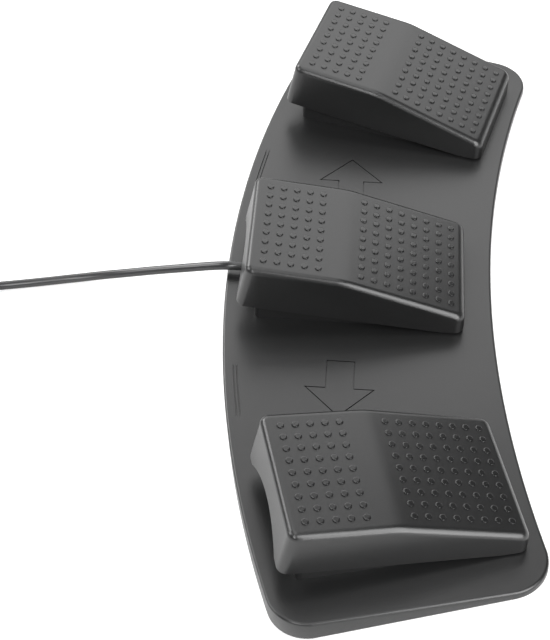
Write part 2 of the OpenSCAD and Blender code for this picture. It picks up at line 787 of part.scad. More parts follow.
module cover() {
    color(moulding)
    difference() {
        union() {
            difference() {
                cover_block();
                cover_cavity(0);
                arch_cut();
            }
            intersection() {
                union() {
                    hinge_lugs();
                    spring_boss();
                    actuator_rib();
                    stop_hooks();
                }
                cover_cavity(sink);
            }
        }
        translate([-housing_half, hinge_y, hinge_h]) rotate([0, 90, 0])
            cylinder(d = pin_d + 2 * run_gap, h = 2 * housing_half);
    }
    color(moulding) grip_dots();
}

// Spring between the housing's floor and the cover's boss
function spring_point(t) = [
    spring_mean_r * cos(360 * t),
    spring_rear + spring_mean_r * sin(360 * t),
    housing_floor + spring_wire / 2 + spring_room
        + (spring_len - spring_wire - 2 * spring_room) * t / spring_turns
];
function end_step(t) = spring_wire * [-sin(360 * t), cos(360 * t), 0];
SPRING_POINTS = concat(
    [spring_point(0) - end_step(0)],
    [for (i = [0:spring_turns * spring_rings]) spring_point(i / spring_rings)],
    [spring_point(spring_turns) + end_step(spring_turns)]
);
echo(spring_gap = least_gap(SPRING_POINTS, spring_wire, spring_rings));  // return_spring_left
module return_spring() {
    color(steel) tube(SPRING_POINTS, spring_wire, 6);
}

// Snap-action switch with a sliding plunger
module switch_body() {
    color(inner_plastic)
    difference() {
        translate([-switch_l / 2, switch_y - switch_w / 2, housing_floor])
            cube([switch_l, switch_w, switch_h]);
        for (x = [-1, 1]) translate([x * switch_screw_side, switch_y - switch_w, switch_screw_h])
            rotate([-90, 0, 0]) cylinder(d = switch_screw_d + 2 * seat_gap, h = 2 * switch_w);
        translate([0, switch_y, switch_top - plunger_stem - plunger_travel - free_gap])
            cylinder(d = plunger_d + 2 * run_gap, h = switch_h);
    }
}
module switch_plunger() {
    r = plunger_d / 2;
    color("firebrick")
    translate([0, switch_y, switch_top - plunger_stem])
        rotate_extrude()
            polygon([
                [0, 0],
                [r, 0],
                [r, plunger_stem + plunger_h - plunger_chamfer],
                [r - plunger_chamfer, plunger_stem + plunger_h],
                [0, plunger_stem + plunger_h]
            ]);
}
module switch_screws() {
    color(steel)
    for (i = [0:2], x = [-1, 1])
        at_pedal(i)
            translate([x * switch_screw_side, switch_y - switch_w / 2, switch_screw_h]) rotate([-90, 0, 0]) {
                translate([0, 0, -switch_screw_head_t])
                    cylinder(d = 2 * switch_screw_d, h = switch_screw_head_t);
                cylinder(d = switch_screw_d, h = switch_w + bracket_t - free_gap);
            }
}

// Controller board in the middle housing, and the wires to it
module controller_board() {
    color("darkgreen") at_pedal(1)
    difference() {
        translate([-board_w / 2, board_heel, board_z]) cube([board_w, board_l, board_t]);
        translate([0, 0, board_z - beyond]) board_posts(board_screw_d + 2 * seat_gap, board_t + 2 * beyond);
    }
}
module controller_chip() {
    color("#202020") at_pedal(1)
        translate([-chip_l / 2, board_heel + chip_from, board_top]) cube([chip_l, chip_l, chip_t]);
}
module wire_sockets() {
    color("ivory") at_pedal(1) translate([0, 0, board_top]) {
        both_sides() translate([board_w / 2 - socket_l, side_socket_y - socket_l / 2, 0])
            cube([socket_l, socket_l, socket_h]);
        translate([-socket_l / 2, board_heel, 0]) cube([socket_l, socket_w, socket_h]);
        translate([-socket_l, board_toe + relief_room - socket_w, 0])
            cube([2 * socket_l, socket_w, socket_h]);
    }
}
module board_screws() {
    color(steel) at_pedal(1) {
        translate([0, 0, board_top]) board_posts(2 * board_screw_d, board_head_t);
        translate([0, 0, board_z - board_lift / 2 + plate_gap])
            board_posts(board_screw_d, board_t + board_lift / 2);
    }
}
// Wire from a switch: along the housing, and from a side pedal under the deck to the middle housing
function wire_start(s) = [
    [s * switch_l / 2, switch_y, wire_h],
    [s * (switch_l / 2 + 1.6), switch_y, wire_h],
    [s * (wire_side - 1), switch_y + 2.2, wire_h],
    [s * wire_side, switch_y + 6, wire_h]
];
function wire_down(s) = [
    [s * wire_side, wire_hole_y - 7, wire_h],
    [s * wire_side, wire_hole_y - 2.5, wire_h - 0.8],
    [s * wire_side, wire_hole_y - 0.4, wire_h - 3],
    [s * wire_side, wire_hole_y, -deck_t / 2],
    [s * (wire_side + 0.8), wire_hole_y, wire_under + 0.7],
    [s * (wire_side + 3.6), wire_hole_y, wire_under]
];
function wire_up(s) = [
    [s * (wire_side + 3.6), wire_hole_y, wire_under],
    [s * (wire_side + 0.8), wire_hole_y, wire_under + 0.7],
    [s * wire_side, wire_hole_y, -deck_t / 2],
    [s * wire_side, wire_hole_y + 0.3, board_top - 2],
    [s * (wire_side + 0.2), wire_hole_y + 2.6, socket_h_mid - 0.5],
    [s * wire_side, side_socket_y - 1.4, socket_h_mid],
    [s * (board_w / 2 + 1.4), side_socket_y, socket_h_mid],
    [s * board_w / 2, side_socket_y, socket_h_mid]
];
function wire_to_front() = [
    [wire_side, -4, wire_h],
    [wire_side - 2.4, 4, wire_h + 0.6],
    [wire_side - 5.6, wire_hole_y - 2.6, wire_h + 2],
    [wire_side - 9.6, wire_hole_y + 0.4, socket_h_mid - 0.6],
    [1.2, board_heel - 1.8, socket_h_mid],
    [0, board_heel - 0.8, socket_h_mid],
    [0, board_heel, socket_h_mid]
];
function moved(i, points) = [for (p = points) pedal_point(i, p)];
module switch_wire(i) {
    s = i == 2 ? -1 : 1;
    points = i == 1
        ? moved(1, concat(wire_start(1), wire_to_front()))
        : concat(moved(i, concat(wire_start(s), wire_down(s))), moved(1, wire_up(-s)));
    color("#44464a") tube(points, wire_d, 8);
}

// Cable: strain relief, lead, coil with its tie, tail and plug
module strain_relief() {
    color(rubber) at_pedal(1) translate([0, housing_toe, cable_h]) {
        translate([-relief_block_half, -housing_wall - relief_block_l, housing_floor - cable_h])
            cube([2 * relief_block_half, relief_block_l, relief_block_h]);
        rotate([-90, 0, 0]) {
            translate([0, 0, -housing_wall - sink]) cylinder(r = relief_neck_r, h = housing_wall + 2 * sink);
            cylinder(r = relief_flange_r, h = relief_flange_t);
            cylinder(r1 = relief_sleeve_r, r2 = relief_tip_r, h = relief_l);
        }
    }
}
module cable_lead() {
    color("#55575a") tube(LEAD_POINTS, cable_d, 8);
}
module cable_coil() {
    color("#55575a") tube(COIL_POINTS, cable_d, 6);
}
module cable_tail() {
    color("#55575a") tube(TAIL_POINTS, cable_d, 8);
}
module cable_tie() {
    // The tie stands where the turns lie half a step inside the coil's widest and narrowest turns
    low = [coil_in_r + coil_pitch / 2 - cable_d / 2 - tie_gap, tie_t];
    high = [coil_out_r - coil_pitch / 2 + cable_d / 2 + tie_gap, coil_top_z + cable_d / 2 + tie_gap];
    edge = [tie_t, tie_t];
    color(rubber)
    translate([coil_centre[0], coil_centre[1], 0]) rotate([0, 0, 180]) rotate([90, 0, 0])
        linear_extrude(tie_w, center = true)
            difference() {
                rounded(low - edge, high + edge, tie_corner_r);
                rounded(low, high, tie_corner_r - tie_t);
            }
}
module at_plug() {
    translate(plug_start) rotate([0, -90, 0]) children();
}
module plug_grip() {
    x = grip_t / 2 - grip_r;
    y = grip_w / 2 - grip_r;
    color(rubber) at_plug() {
        cylinder(r1 = relief_tip_r, r2 = grip_t / 2 - 0.4, h = grip_boot_l + 1);
        hull() for (a = [-x, x], b = [-y, y], z = [grip_boot_l, grip_boot_l + grip_l - grip_r])
            translate([a, b, z]) {
                if (z == grip_boot_l) translate([0, 0, grip_r]) sphere(grip_r, $fn = 24);
                else cylinder(r = grip_r, h = grip_r, $fn = 24);
            }
    }
}
module at_shell() {
    at_plug() translate([0, 0, grip_boot_l + grip_l]) children();
}
module plug_shell() {
    inner = [shell_t - 2 * shell_wall, shell_w - 2 * shell_wall];
    color(steel) at_shell()
    difference() {
        translate([-shell_t / 2, -shell_w / 2, 0]) cube([shell_t, shell_w, shell_l]);
        translate([-inner[0] / 2, -inner[1] / 2, -beyond]) cube([inner[0], inner[1], shell_l + 2 * beyond]);
        for (y = [-1, 1]) translate([0, y * shell_w / 4 - shell_window / 2, shell_l / 2 - shell_window / 2])
            cube([shell_t, shell_window, shell_window]);
    }
}
module plug_tongue() {
    color("ivory") at_shell()
        translate([-shell_t / 2 + shell_wall + seat_gap, -shell_w / 2 + shell_wall + seat_gap, 0])
            cube([tongue_t, shell_w - 2 * (shell_wall + seat_gap), shell_l - tongue_in]);
}

base_tray();
bottom_plate();
bottom_screws();
rubber_feet();
housing_screws();
for (i = [0:2]) {
    at_pedal(i) housing(i);
    at_pedal(i) hinge_pin();
    at_pedal(i) cover();
    at_pedal(i) return_spring();
    at_pedal(i) switch_body();
    at_pedal(i) switch_plunger();
    switch_wire(i);
}
switch_screws();
controller_board();
controller_chip();
wire_sockets();
board_screws();
strain_relief();
cable_lead();
cable_coil();
cable_tail();
cable_tie();
plug_grip();
plug_shell();
plug_tongue();
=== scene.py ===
# %% [markdown]
# # A foot switch with three pedals
# The object is a low, curved tray of dark moulded plastic. Three rocker pedals stand on it, each over a fixed
# housing with a switch and a spring inside, and a cable with a plug leaves the middle one.
# The solids come packed from the CAD model. This lesson dresses them: it keeps the hidden pieces as they are,
# and makes every surface that shows as a smooth mesh worked out with numpy, in the same frame and size.

# %% The frame
import math

import bmesh
import bpy
import numpy as np
from mathutils import Matrix
from mathutils.geometry import delaunay_2d_cdt


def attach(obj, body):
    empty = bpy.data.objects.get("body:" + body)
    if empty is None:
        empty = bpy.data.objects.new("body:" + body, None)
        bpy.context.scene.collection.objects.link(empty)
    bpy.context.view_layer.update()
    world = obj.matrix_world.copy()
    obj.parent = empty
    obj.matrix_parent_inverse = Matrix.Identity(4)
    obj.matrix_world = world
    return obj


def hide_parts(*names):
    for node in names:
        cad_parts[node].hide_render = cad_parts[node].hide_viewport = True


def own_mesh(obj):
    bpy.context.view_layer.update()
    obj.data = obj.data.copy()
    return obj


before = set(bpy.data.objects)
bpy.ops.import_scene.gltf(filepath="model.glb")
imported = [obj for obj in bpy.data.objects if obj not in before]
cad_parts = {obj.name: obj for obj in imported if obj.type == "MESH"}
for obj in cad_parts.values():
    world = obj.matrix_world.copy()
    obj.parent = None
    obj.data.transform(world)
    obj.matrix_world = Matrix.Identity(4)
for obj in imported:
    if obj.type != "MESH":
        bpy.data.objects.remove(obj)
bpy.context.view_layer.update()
scene = bpy.context.scene
scene.view_settings.view_transform = "Standard"
MM = 0.001

# %% [markdown]
# ## Where things are
# The tray's deck is a plane that rises to the toe side, and each pedal has a frame of its own on that deck:
# x across the pedal, y from the crease to the toes, z off the deck. Every piece below is drawn in one of
# these frames in millimetres and then carried into the part's frame, so one set of sizes serves all three pedals.

# %% Frames of the deck and the pedals
DECK_TILT = math.radians(3.8)
DECK_Y, DECK_Z = 18.0726, 11.1
SIDES = ("left", "middle", "right")
PLACES = np.array([[-141.5, -20.3], [0.0, 0.0], [141.5, -20.3]])
TURNS = np.radians([14.9, 0.0, -14.9])


def on_deck(points):
    """Deck frame to part frame: a turn about X by the tilt, then a shift to the deck's place."""
    p = np.asarray(points, float)
    c, s = math.cos(DECK_TILT), math.sin(DECK_TILT)
    return np.stack(
        [p[..., 0], c * p[..., 1] - s * p[..., 2] + DECK_Y, s * p[..., 1] + c * p[..., 2] + DECK_Z], -1
    )


def on_pedal(i, points):
    """Pedal frame to part frame: a turn about Z by the pedal's turn, a shift to its place, then the deck's move."""
    p = np.asarray(points, float)
    c, s = math.cos(TURNS[i]), math.sin(TURNS[i])
    x = c * p[..., 0] - s * p[..., 1] + PLACES[i, 0]
    y = s * p[..., 0] + c * p[..., 1] + PLACES[i, 1]
    return on_deck(np.stack([x, y, p[..., 2]], -1))


def deck_level(y):
    """Height of the deck's plane in the part frame, over a point y from the middle crease in plan."""
    return DECK_Z + y * math.tan(DECK_TILT)


print("middle pedal stands at", on_pedal(1, [0, 0, 0]).round(2))

# %% [markdown]
# ## The camera
# The photograph looks down at about 46 degrees from the end of the tray, so the row of pedals runs away from
# the viewer. The lens is long, and the camera is turned a few degrees about its own axis. Such a camera can be set by
# eye, but edges that run away from the viewer show every degree, so its place and lens were fitted to the dots and
# edges in the picture, and are plain numbers here.

# %% Camera
CAMERA_AT = np.array([-583.757, -20.433, 587.629])
CAMERA_FROM = math.radians(-172.7536)
CAMERA_RISE = math.radians(45.8828)
CAMERA_ROLL = math.radians(-4.5009)
LENS, FILM = 93.42, 36.0


def camera_axes():
    """Right, up and back vectors of a camera at that bearing and rise, turned by its roll."""
    flat = math.cos(CAMERA_RISE)
    back = np.array([flat * math.cos(CAMERA_FROM), flat * math.sin(CAMERA_FROM), math.sin(CAMERA_RISE)])
    level = np.cross([0, 0, 1], back)
    level /= np.linalg.norm(level)
    rise = np.cross(back, level)
    c, s = math.cos(CAMERA_ROLL), math.sin(CAMERA_ROLL)
    return c * level + s * rise, c * rise - s * level, back


lens = bpy.data.cameras.new("camera")
lens.sensor_fit, lens.sensor_width, lens.sensor_height, lens.lens = "AUTO", FILM, FILM, LENS
lens.clip_start, lens.clip_end = 0.01, 20
camera = bpy.data.objects.new("camera", lens)
pose = np.eye(4)
pose[:3, :3] = np.stack(camera_axes(), 1)
pose[:3, 3] = CAMERA_AT * MM
camera.matrix_world = Matrix(pose.tolist())
scene.collection.objects.link(camera)
scene.camera = camera
print("camera looks along", (-camera_axes()[2]).round(3))

# %% [markdown]
# ## Finishes
# Nearly everything is one dark moulded plastic. What makes such plastic read as real is not its colour but its
# skin: a fine spark-eroded grain that breaks up the gloss, and a slow drift of sheen across a large face.
# Both are node groups, so that each finish places them with its own values. They put out values that change over
# the surface, and a material leads these to its own Principled shader. Each finish keeps its roughness on one side of
# about 0.27: the denoiser takes smoother skin for a mirror, and leaves speckles where a skin goes back and forth.


# %% Shared node groups
DRIFT_FINER, BROAD_SHARE = 3.7, 0.7


def new_group(name, inputs, outputs):
    """An empty shader group with float inputs and outputs, and its two end nodes."""
    group = bpy.data.node_groups.new(name, "ShaderNodeTree")
    for label, value in inputs.items():
        socket = group.interface.new_socket(label, in_out="INPUT", socket_type="NodeSocketFloat")
        socket.default_value = value
    for label in outputs:
        group.interface.new_socket(label, in_out="OUTPUT", socket_type="NodeSocketFloat")
    return group, group.nodes.new("NodeGroupInput"), group.nodes.new("NodeGroupOutput")


def math_node(tree, operation, a, b=None):
    """One Math node; each of a and b is a socket or a number."""
    node = tree.nodes.new("ShaderNodeMath")
    node.operation = operation
    for slot, value in zip(node.inputs, (a, b)):
        if isinstance(value, bpy.types.NodeSocket):
            tree.links.new(value, slot)
        elif value is not None:
            slot.default_value = value
    return node.outputs[0]


def noise_node(tree, vector, scale, detail):
    """Noise of the given scale, in cells a metre, on a coordinate socket."""
    node = tree.nodes.new("ShaderNodeTexNoise")
    node.inputs["Detail"].default_value = detail
    tree.links.new(vector, node.inputs["Vector"])
    if isinstance(scale, bpy.types.NodeSocket):
        tree.links.new(scale, node.inputs["Scale"])
    else:
        node.inputs["Scale"].default_value = scale
    return node.outputs["Fac"]


def grain_group():
    """Mould grain: cells and noise of one pitch add up to a height, and the noise alone is a gloss mask."""
    group, start, end = new_group("mould_grain", {"Pitch": 1.0}, ["Height", "Gloss"])
    place = group.nodes.new("ShaderNodeTexCoord").outputs["Object"]
    scale = math_node(group, "DIVIDE", 1 / MM, start.outputs["Pitch"])
    cells = group.nodes.new("ShaderNodeTexVoronoi")
    cells.feature = "SMOOTH_F1"
    group.links.new(place, cells.inputs["Vector"])
    group.links.new(scale, cells.inputs["Scale"])
    fine = noise_node(group, place, scale, 2.0)
    group.links.new(math_node(group, "ADD", cells.outputs["Distance"], fine), end.inputs["Height"])
    group.links.new(fine, end.inputs["Gloss"])
    return group


def drift_group():
    """Slow drift of sheen: a broad noise and one of nearly a quarter of its size, mixed, from about 0.3 to 0.7."""
    group, start, end = new_group("sheen_drift", {"Size": 40.0}, ["Drift"])
    place = group.nodes.new("ShaderNodeTexCoord").outputs["Object"]
    scale = math_node(group, "DIVIDE", 1 / MM, start.outputs["Size"])
    broad = noise_node(group, place, scale, 1.0)
    middle = noise_node(group, place, math_node(group, "MULTIPLY", scale, DRIFT_FINER), 2.0)
    shares = ((broad, BROAD_SHARE), (middle, 1 - BROAD_SHARE))
    mixed = [math_node(group, "MULTIPLY", noise, share) for noise, share in shares]
    group.links.new(math_node(group, "ADD", *mixed), end.inputs["Drift"])
    return group


GRAIN, DRIFT = grain_group(), drift_group()
print("groups:", [g.name for g in (GRAIN, DRIFT)])


# %% A finish from those groups
DRIFT_GAIN, SPECKLE_GAIN, DRIFT_ENDS, SHADE = 4, 2, (0.3, 0.7), 0.12


def finish(name, colour, rough, grain=(0.5, 0.1), drift=(40, 0.06), metal=0.0, specular=0.5, coat=0.0):
    """A Principled material. Grain is its pitch and depth in mm, drift its size in mm and its strength: the roughness
    follows the drift and the grain's gloss by it, and the colour gets darker and lighter with the drift."""
    material = bpy.data.materials.new(name)
    material.use_nodes = True
    tree = material.node_tree
    shader = tree.nodes["Principled BSDF"]
    shader.inputs["Metallic"].default_value = metal
    shader.inputs["Specular IOR Level"].default_value = specular
    shader.inputs["Coat Weight"].default_value = coat
    skin = tree.nodes.new("ShaderNodeGroup")
    skin.node_tree = GRAIN
    skin.inputs["Pitch"].default_value = grain[0]
    slow = tree.nodes.new("ShaderNodeGroup")
    slow.node_tree = DRIFT
    slow.inputs["Size"].default_value = drift[0]
    bump = tree.nodes.new("ShaderNodeBump")
    bump.inputs["Strength"].default_value = 1.0
    bump.inputs["Distance"].default_value = grain[1] * MM
    tree.links.new(skin.outputs["Height"], bump.inputs["Height"])
    tree.links.new(bump.outputs["Normal"], shader.inputs["Normal"])
    spread, speckle = (
        math_node(tree, "MULTIPLY", math_node(tree, "SUBTRACT", value, 0.5), gain * drift[1])
        for value, gain in ((slow.outputs["Drift"], DRIFT_GAIN), (skin.outputs["Gloss"], SPECKLE_GAIN))
    )
    change = math_node(tree, "ADD", spread, speckle)
    tree.links.new(math_node(tree, "ADD", change, rough), shader.inputs["Roughness"])
    ramp = tree.nodes.new("ShaderNodeValToRGB")
    for end, place, level in zip(ramp.color_ramp.elements, DRIFT_ENDS, (1 - SHADE, 1 + SHADE)):
        end.position = place
        end.color = (*(level * np.array(colour)).clip(0, 1).tolist(), 1)
    tree.links.new(slow.outputs["Drift"], ramp.inputs["Fac"])
    tree.links.new(ramp.outputs["Color"], shader.inputs["Base Color"])
    return material


print("gains of the drift and of the speckle:", DRIFT_GAIN, SPECKLE_GAIN)

# %% Plastics, rubbers and metals
PLASTIC = (0.008, 0.0081, 0.0082)
SHEEN = 0.65
tray_plastic = finish("tray_plastic", PLASTIC, 0.33, grain=(0.55, 0.02), drift=(70, 0.025), specular=SHEEN)
pedal_plastic = finish("pedal_plastic", PLASTIC, 0.3, grain=(0.6, 0.02), drift=(45, 0.012), specular=SHEEN)
dot_plastic = finish("dot_plastic", PLASTIC, 0.2, grain=(0.6, 0.01), drift=(45, 0.01), specular=SHEEN)
housing_plastic = finish("housing_plastic", (0.009, 0.0091, 0.0093), 0.4, grain=(0.5, 0.03))
plate_plastic = finish("plate_plastic", (0.03, 0.03, 0.031), 0.5, grain=(0.8, 0.06))
foot_rubber = finish("foot_rubber", (0.018, 0.018, 0.019), 0.75, grain=(0.35, 0.04), specular=0.35)
cable_jacket = finish("cable_jacket", (0.037, 0.0373, 0.038), 0.2, grain=(0.3, 0.008), drift=(25, 0.04))
relief_rubber = finish("relief_rubber", (0.03, 0.0302, 0.031), 0.5, grain=(0.35, 0.02), specular=0.4)
plug_rubber = finish("plug_rubber", (0.045, 0.0452, 0.046), 0.45, grain=(0.35, 0.02), specular=0.45)
tie_rubber = finish("tie_rubber", (0.02, 0.02, 0.021), 0.7, grain=(0.7, 0.08))
switch_case = finish("switch_case", (0.022, 0.022, 0.024), 0.4, grain=(0.4, 0.02))
plunger_red = finish("plunger_red", (0.32, 0.02, 0.015), 0.3, grain=(0.4, 0.008), drift=(6, 0.012))
zinc_steel = finish("zinc_steel", (0.62, 0.63, 0.65), 0.33, grain=(0.25, 0.006), drift=(8, 0.025), metal=1.0)
nickel = finish("nickel", (0.72, 0.72, 0.73), 0.22, grain=(0.3, 0.004), drift=(10, 0.02), metal=1.0)
gilding = finish("gilding", (0.83, 0.61, 0.25), 0.22, grain=(0.3, 0.004), drift=(6, 0.02), metal=1.0)
board_green = finish("board_green", (0.012, 0.09, 0.03), 0.32, grain=(0.5, 0.01), drift=(9, 0.02), coat=0.3)
chip_black = finish("chip_black", (0.018, 0.018, 0.018), 0.5, grain=(0.3, 0.02))
socket_ivory = finish("socket_ivory", (0.68, 0.64, 0.54), 0.42, grain=(0.4, 0.01))
print("finishes:", len(bpy.data.materials))

# %% [markdown]
# ## Tools for the surfaces
# A piece is a stack of rings, or a grid, held as one numpy array. Two helpers turn such an array into quads, one
# turns a shape outwards by the sign of its volume, and one makes the object, puts it on its body and hides
# the CAD nodes that it stands for.


# %% Grids and rings
def grid_quads(rows, columns, ring=False, loop=False):
    """Quads of a grid stored row by row; ring joins the last column to the first, loop the last row to the first."""
    r = np.arange(rows if loop else rows - 1)[:, None]
    c = np.arange(columns if ring else columns - 1)[None, :]
    up, n = (r + 1) % rows * columns, (c + 1) % columns
    r = r * columns
    return np.stack([r + c, r + n, up + n, up + c], -1).reshape(-1, 4)


def volume_of(points, faces):
    """Six times the signed volume of a closed shape: triple products over fans of triangles."""
    total = 0.0
    for count in {len(f) for f in faces}:
        f = np.array([g for g in faces if len(g) == count])
        for k in range(1, count - 1):
            a, b, c = points[f[:, 0]], points[f[:, k]], points[f[:, k + 1]]
            total += np.einsum("ij,ij->", a, np.cross(b, c))
    return total


def outwards(points, faces):
    """The same shape with its faces turned outwards."""
    points = np.asarray(points, float).reshape(-1, 3)
    faces = [list(map(int, f)) for f in faces]
    if volume_of(points - points.mean(0), faces) < 0:
        faces = [f[::-1] for f in faces]
    return points, faces


def loft(rings):
    """A closed solid from a stack of rings of equal count, its ends closed by one face each."""
    rings = np.asarray(rings, float)
    m, n = rings.shape[:2]
    caps = [list(range(n))[::-1], list(range((m - 1) * n, m * n))]
    return outwards(rings, grid_quads(m, n, ring=True).tolist() + caps)


def joined(parts):
    """Several (points, faces) shapes as one."""
    starts = np.cumsum([0] + [len(p) for p, _ in parts])
    points = np.concatenate([p for p, _ in parts])
    return points, [[k + s for k in f] for (_, faces), s in zip(parts, starts) for f in faces]


def arc(centre, radius, start, stop, steps):
    """Points of a circle from one angle to another, in degrees, the last one left out."""
    a = np.radians(start + (stop - start) * np.arange(steps) / steps)
    return np.asarray(centre) + radius * np.stack([np.cos(a), np.sin(a)], -1)


print("a grid of 3 by 4 points has", len(grid_quads(3, 4)), "quads")

# %% Pieces on their bodies
SHARP = math.radians(32)


def make_piece(name, shape, body, material, replaces=(), recalc=False):
    """An object from a shape in mm that rides on its body: smooth, but for edges that turn by more than SHARP."""
    points, faces = shape
    mesh = bpy.data.meshes.new(name)
    mesh.from_pydata((points * MM).tolist(), [], faces)
    if recalc:
        work = bmesh.new()
        work.from_mesh(mesh)
        bmesh.ops.delete(work, geom=[v for v in work.verts if not v.link_faces], context="VERTS")
        bmesh.ops.recalc_face_normals(work, faces=work.faces)
        work.to_mesh(mesh)
        work.free()
    mesh.polygons.foreach_set("use_smooth", np.ones(len(mesh.polygons), bool))
    mesh.set_sharp_from_angle(angle=SHARP)
    mesh.materials.append(material)
    mesh.update()
    piece = bpy.data.objects.new(name, mesh)
    scene.collection.objects.link(piece)
    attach(piece, body)
    if replaces:
        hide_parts(*replaces)
    return piece


def round_line(name, path, diameter, material, replaces):
    """A bevelled curve through a path in mm, closed at its ends, that rides on the base."""
    line = bpy.data.curves.new(name, "CURVE")
    line.dimensions = "3D"
    line.bevel_depth = diameter / 2 * MM
    line.bevel_resolution = 5
    line.use_fill_caps = True
    spline = line.splines.new("POLY")
    spline.points.add(len(path) - 1)
    spline.points.foreach_set("co", np.concatenate([path * MM, np.ones((len(path), 1))], 1).ravel())
    spline.use_smooth = True
    line.materials.append(material)
    piece = bpy.data.objects.new(name, line)
    scene.collection.objects.link(piece)
    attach(piece, "base")
    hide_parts(*replaces)
    return piece


def wear(material, *nodes):
    """Gives a finish to CAD nodes that stay as they are."""
    for node in nodes:
        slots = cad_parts[node].data.materials
        slots.clear()
        slots.append(material)


def each(stem):
    """The three nodes of a kind."""
    return [f"{stem}_{side}" for side in SIDES]


print("kinds of three:", each("cover"))

# %% [markdown]
# ## The cable
# A signal cable is a fixed length of something flexible. It leaves the middle pedal at the toe end, drops over
# the tray's edge to the floor, and runs out of the picture. What the picture doesn't show is wound into a
# neat flat coil just outside the view, held by a tie, with the plug beside it. The route repeats the points of the
# solid, and a smooth curve is drawn through them, because a bevelled curve keeps an even thickness in its bends.

# %% Route of the cable
CABLE_D = 4.4
FLOOR_LINE = 2.25
RELIEF_END = 50.3
CABLE_H = 4.4
LEAD = np.concatenate([
    on_pedal(1, [[0, RELIEF_END, CABLE_H], [0, RELIEF_END + CABLE_D, CABLE_H]]),
    [[0.3, 77, 18.8], [1.4, 83, 17.4], [2.8, 90, 15.3], [4.3, 98, 12.9], [5.7, 107, 10.5], [6.8, 116, 8.3]],
    [[7.5, 124, 6.5], [7.9, 132, 5], [8, 140, 3.8], [7.6, 148, 2.9], [6.7, 157, 2.3]],
    [[x, y, FLOOR_LINE] for x, y in ((5.2, 166), (3.7, 175), (2.3, 184), (1, 193), (-0.2, 202))],
    [[-1.4, 208, FLOOR_LINE + 0.5]],
])
COIL_AT, COIL_OUT, COIL_PITCH, LAYERS, LAYER_TURNS = np.array([-30.2, 221.0]), 28.5, 5.0, 4, 3
COIL_IN = COIL_OUT - LAYER_TURNS * COIL_PITCH
COIL_LOW = 3.15
COIL_TURNS, TURN_STEPS = LAYERS * LAYER_TURNS + 0.25, 24
TAIL_DROP = np.array([
    [0, 0], [3, 0], [8, 0.05], [14, 0.2], [20, 0.41], [27, 0.66], [34, 0.87], [40, 0.97], [46, 1], [50, 1]
])
PLUG_LINE = 3.8


def coil_points(t):
    """The winding after t turns: the radius goes in and out by one pitch a turn, layer by layer, and the height
    climbs one pitch over the half turn round each reversal."""
    layer = np.minimum(np.floor(t / LAYER_TURNS), LAYERS - 1)
    done = (t - layer * LAYER_TURNS) * COIL_PITCH
    radius = np.where(layer % 2 == 0, COIL_OUT - done, COIL_IN + done)
    steps = np.arange(1, LAYERS) * LAYER_TURNS
    climb = np.clip((t[:, None] - steps) * 2 + 0.5, 0, 1).sum(1)
    turn = 2 * np.pi * t
    return np.stack([
        COIL_AT[0] + radius * np.cos(turn), COIL_AT[1] + radius * np.sin(turn), COIL_LOW + COIL_PITCH * climb
    ], -1)


coil = coil_points(np.arange(int(COIL_TURNS * TURN_STEPS) + 1) / TURN_STEPS)
coil_end = coil[-1]
tail = np.stack([
    coil_end[0] - CABLE_D - TAIL_DROP[:, 0],
    np.full(len(TAIL_DROP), coil_end[1]),
    coil_end[2] + TAIL_DROP[:, 1] * (PLUG_LINE - coil_end[2]),
], -1)
route = np.concatenate([
    LEAD, [coil[0] - [0, 2 * CABLE_D, 0], coil[0] - [0, CABLE_D, 0]], coil, tail
])
plug_start = tail[-1]
print("plug starts at", plug_start.round(2))


# %% Curve of the cable
CURVE_STEPS = 3


def smooth_path(points, steps):
    """A Catmull-Rom curve: a cubic between neighbours whose slopes are half the span of the points beside them."""
    p = np.concatenate([2 * points[:1] - points[1:2], points, 2 * points[-1:] - points[-2:-1]])
    t = (np.arange(steps) / steps)[None, :, None]
    a, b, c, d = (p[k:len(p) - 3 + k][:, None, :] for k in range(4))
    curve = 0.5 * (2 * b + (c - a) * t + (2 * a - 5 * b + 4 * c - d) * t**2 + (3 * b - a - 3 * c + d) * t**3)
    return np.concatenate([curve.reshape(-1, 3), points[-1:]])


cable_path = smooth_path(route, CURVE_STEPS)
cable = round_line(
    "signal_cable", cable_path, CABLE_D, cable_jacket, ["cable_lead", "cable_coil", "cable_tail"]
)

# %% [markdown]
# ## The tray
# The tray is one shallow moulding, drawn between two arcs, with a deck that slopes. Its outline is the same at
# every height, so the skin is a stack of outlines, each drawn in a little more than the last: up the rim, round
# the deck's edge in a quarter circle, and in over the deck. The two short slots near the toe edge follow the
# outline, so they are made in the same stack, by lowering the points that lie in them. Each slot holds a strip that
# nearly fills it, so that only its two long edges show.

# %% Outline of the tray
OUTER_R, INNER_R = 567.5, 604.5
TRAY_DEPTH, TOE_EDGE, END_MARGIN = 130.0, 57.6, 53.0
TOE_CORNER_R, HEEL_CORNER_R = 18.0, 19.5
FOOT_H, RIM_T, DECK_T, EDGE_R = 1.5, 2.0, 1.8, 1.2
SLOT_FROM, SLOT_SPAN, SLOT_IN, SLOT_W, SLOT_DEEP = 6.3, 3.3, 4.7, 2.1, 0.8
toe_centre = np.array([0, TOE_EDGE - OUTER_R])
heel_centre = np.array([0, TOE_EDGE - TRAY_DEPTH - INNER_R])
end_normal = np.array([math.cos(TURNS[0]), -math.sin(TURNS[0])])
end_along = np.array([math.sin(TURNS[0]), math.cos(TURNS[0])])
end_reach = PLACES[2] @ end_normal + END_MARGIN


def corner_centre(circle, reach, radius):
    """Centre of a corner that touches the tray's straight end and lies at a distance from a circle's centre."""
    over = end_reach - radius
    along = circle @ end_along + math.sqrt(reach**2 - (over - circle @ end_normal) ** 2)
    return over * end_normal + along * end_along


toe_corner = corner_centre(toe_centre, OUTER_R - TOE_CORNER_R, TOE_CORNER_R)
heel_corner = corner_centre(heel_centre, INNER_R + HEEL_CORNER_R, HEEL_CORNER_R)


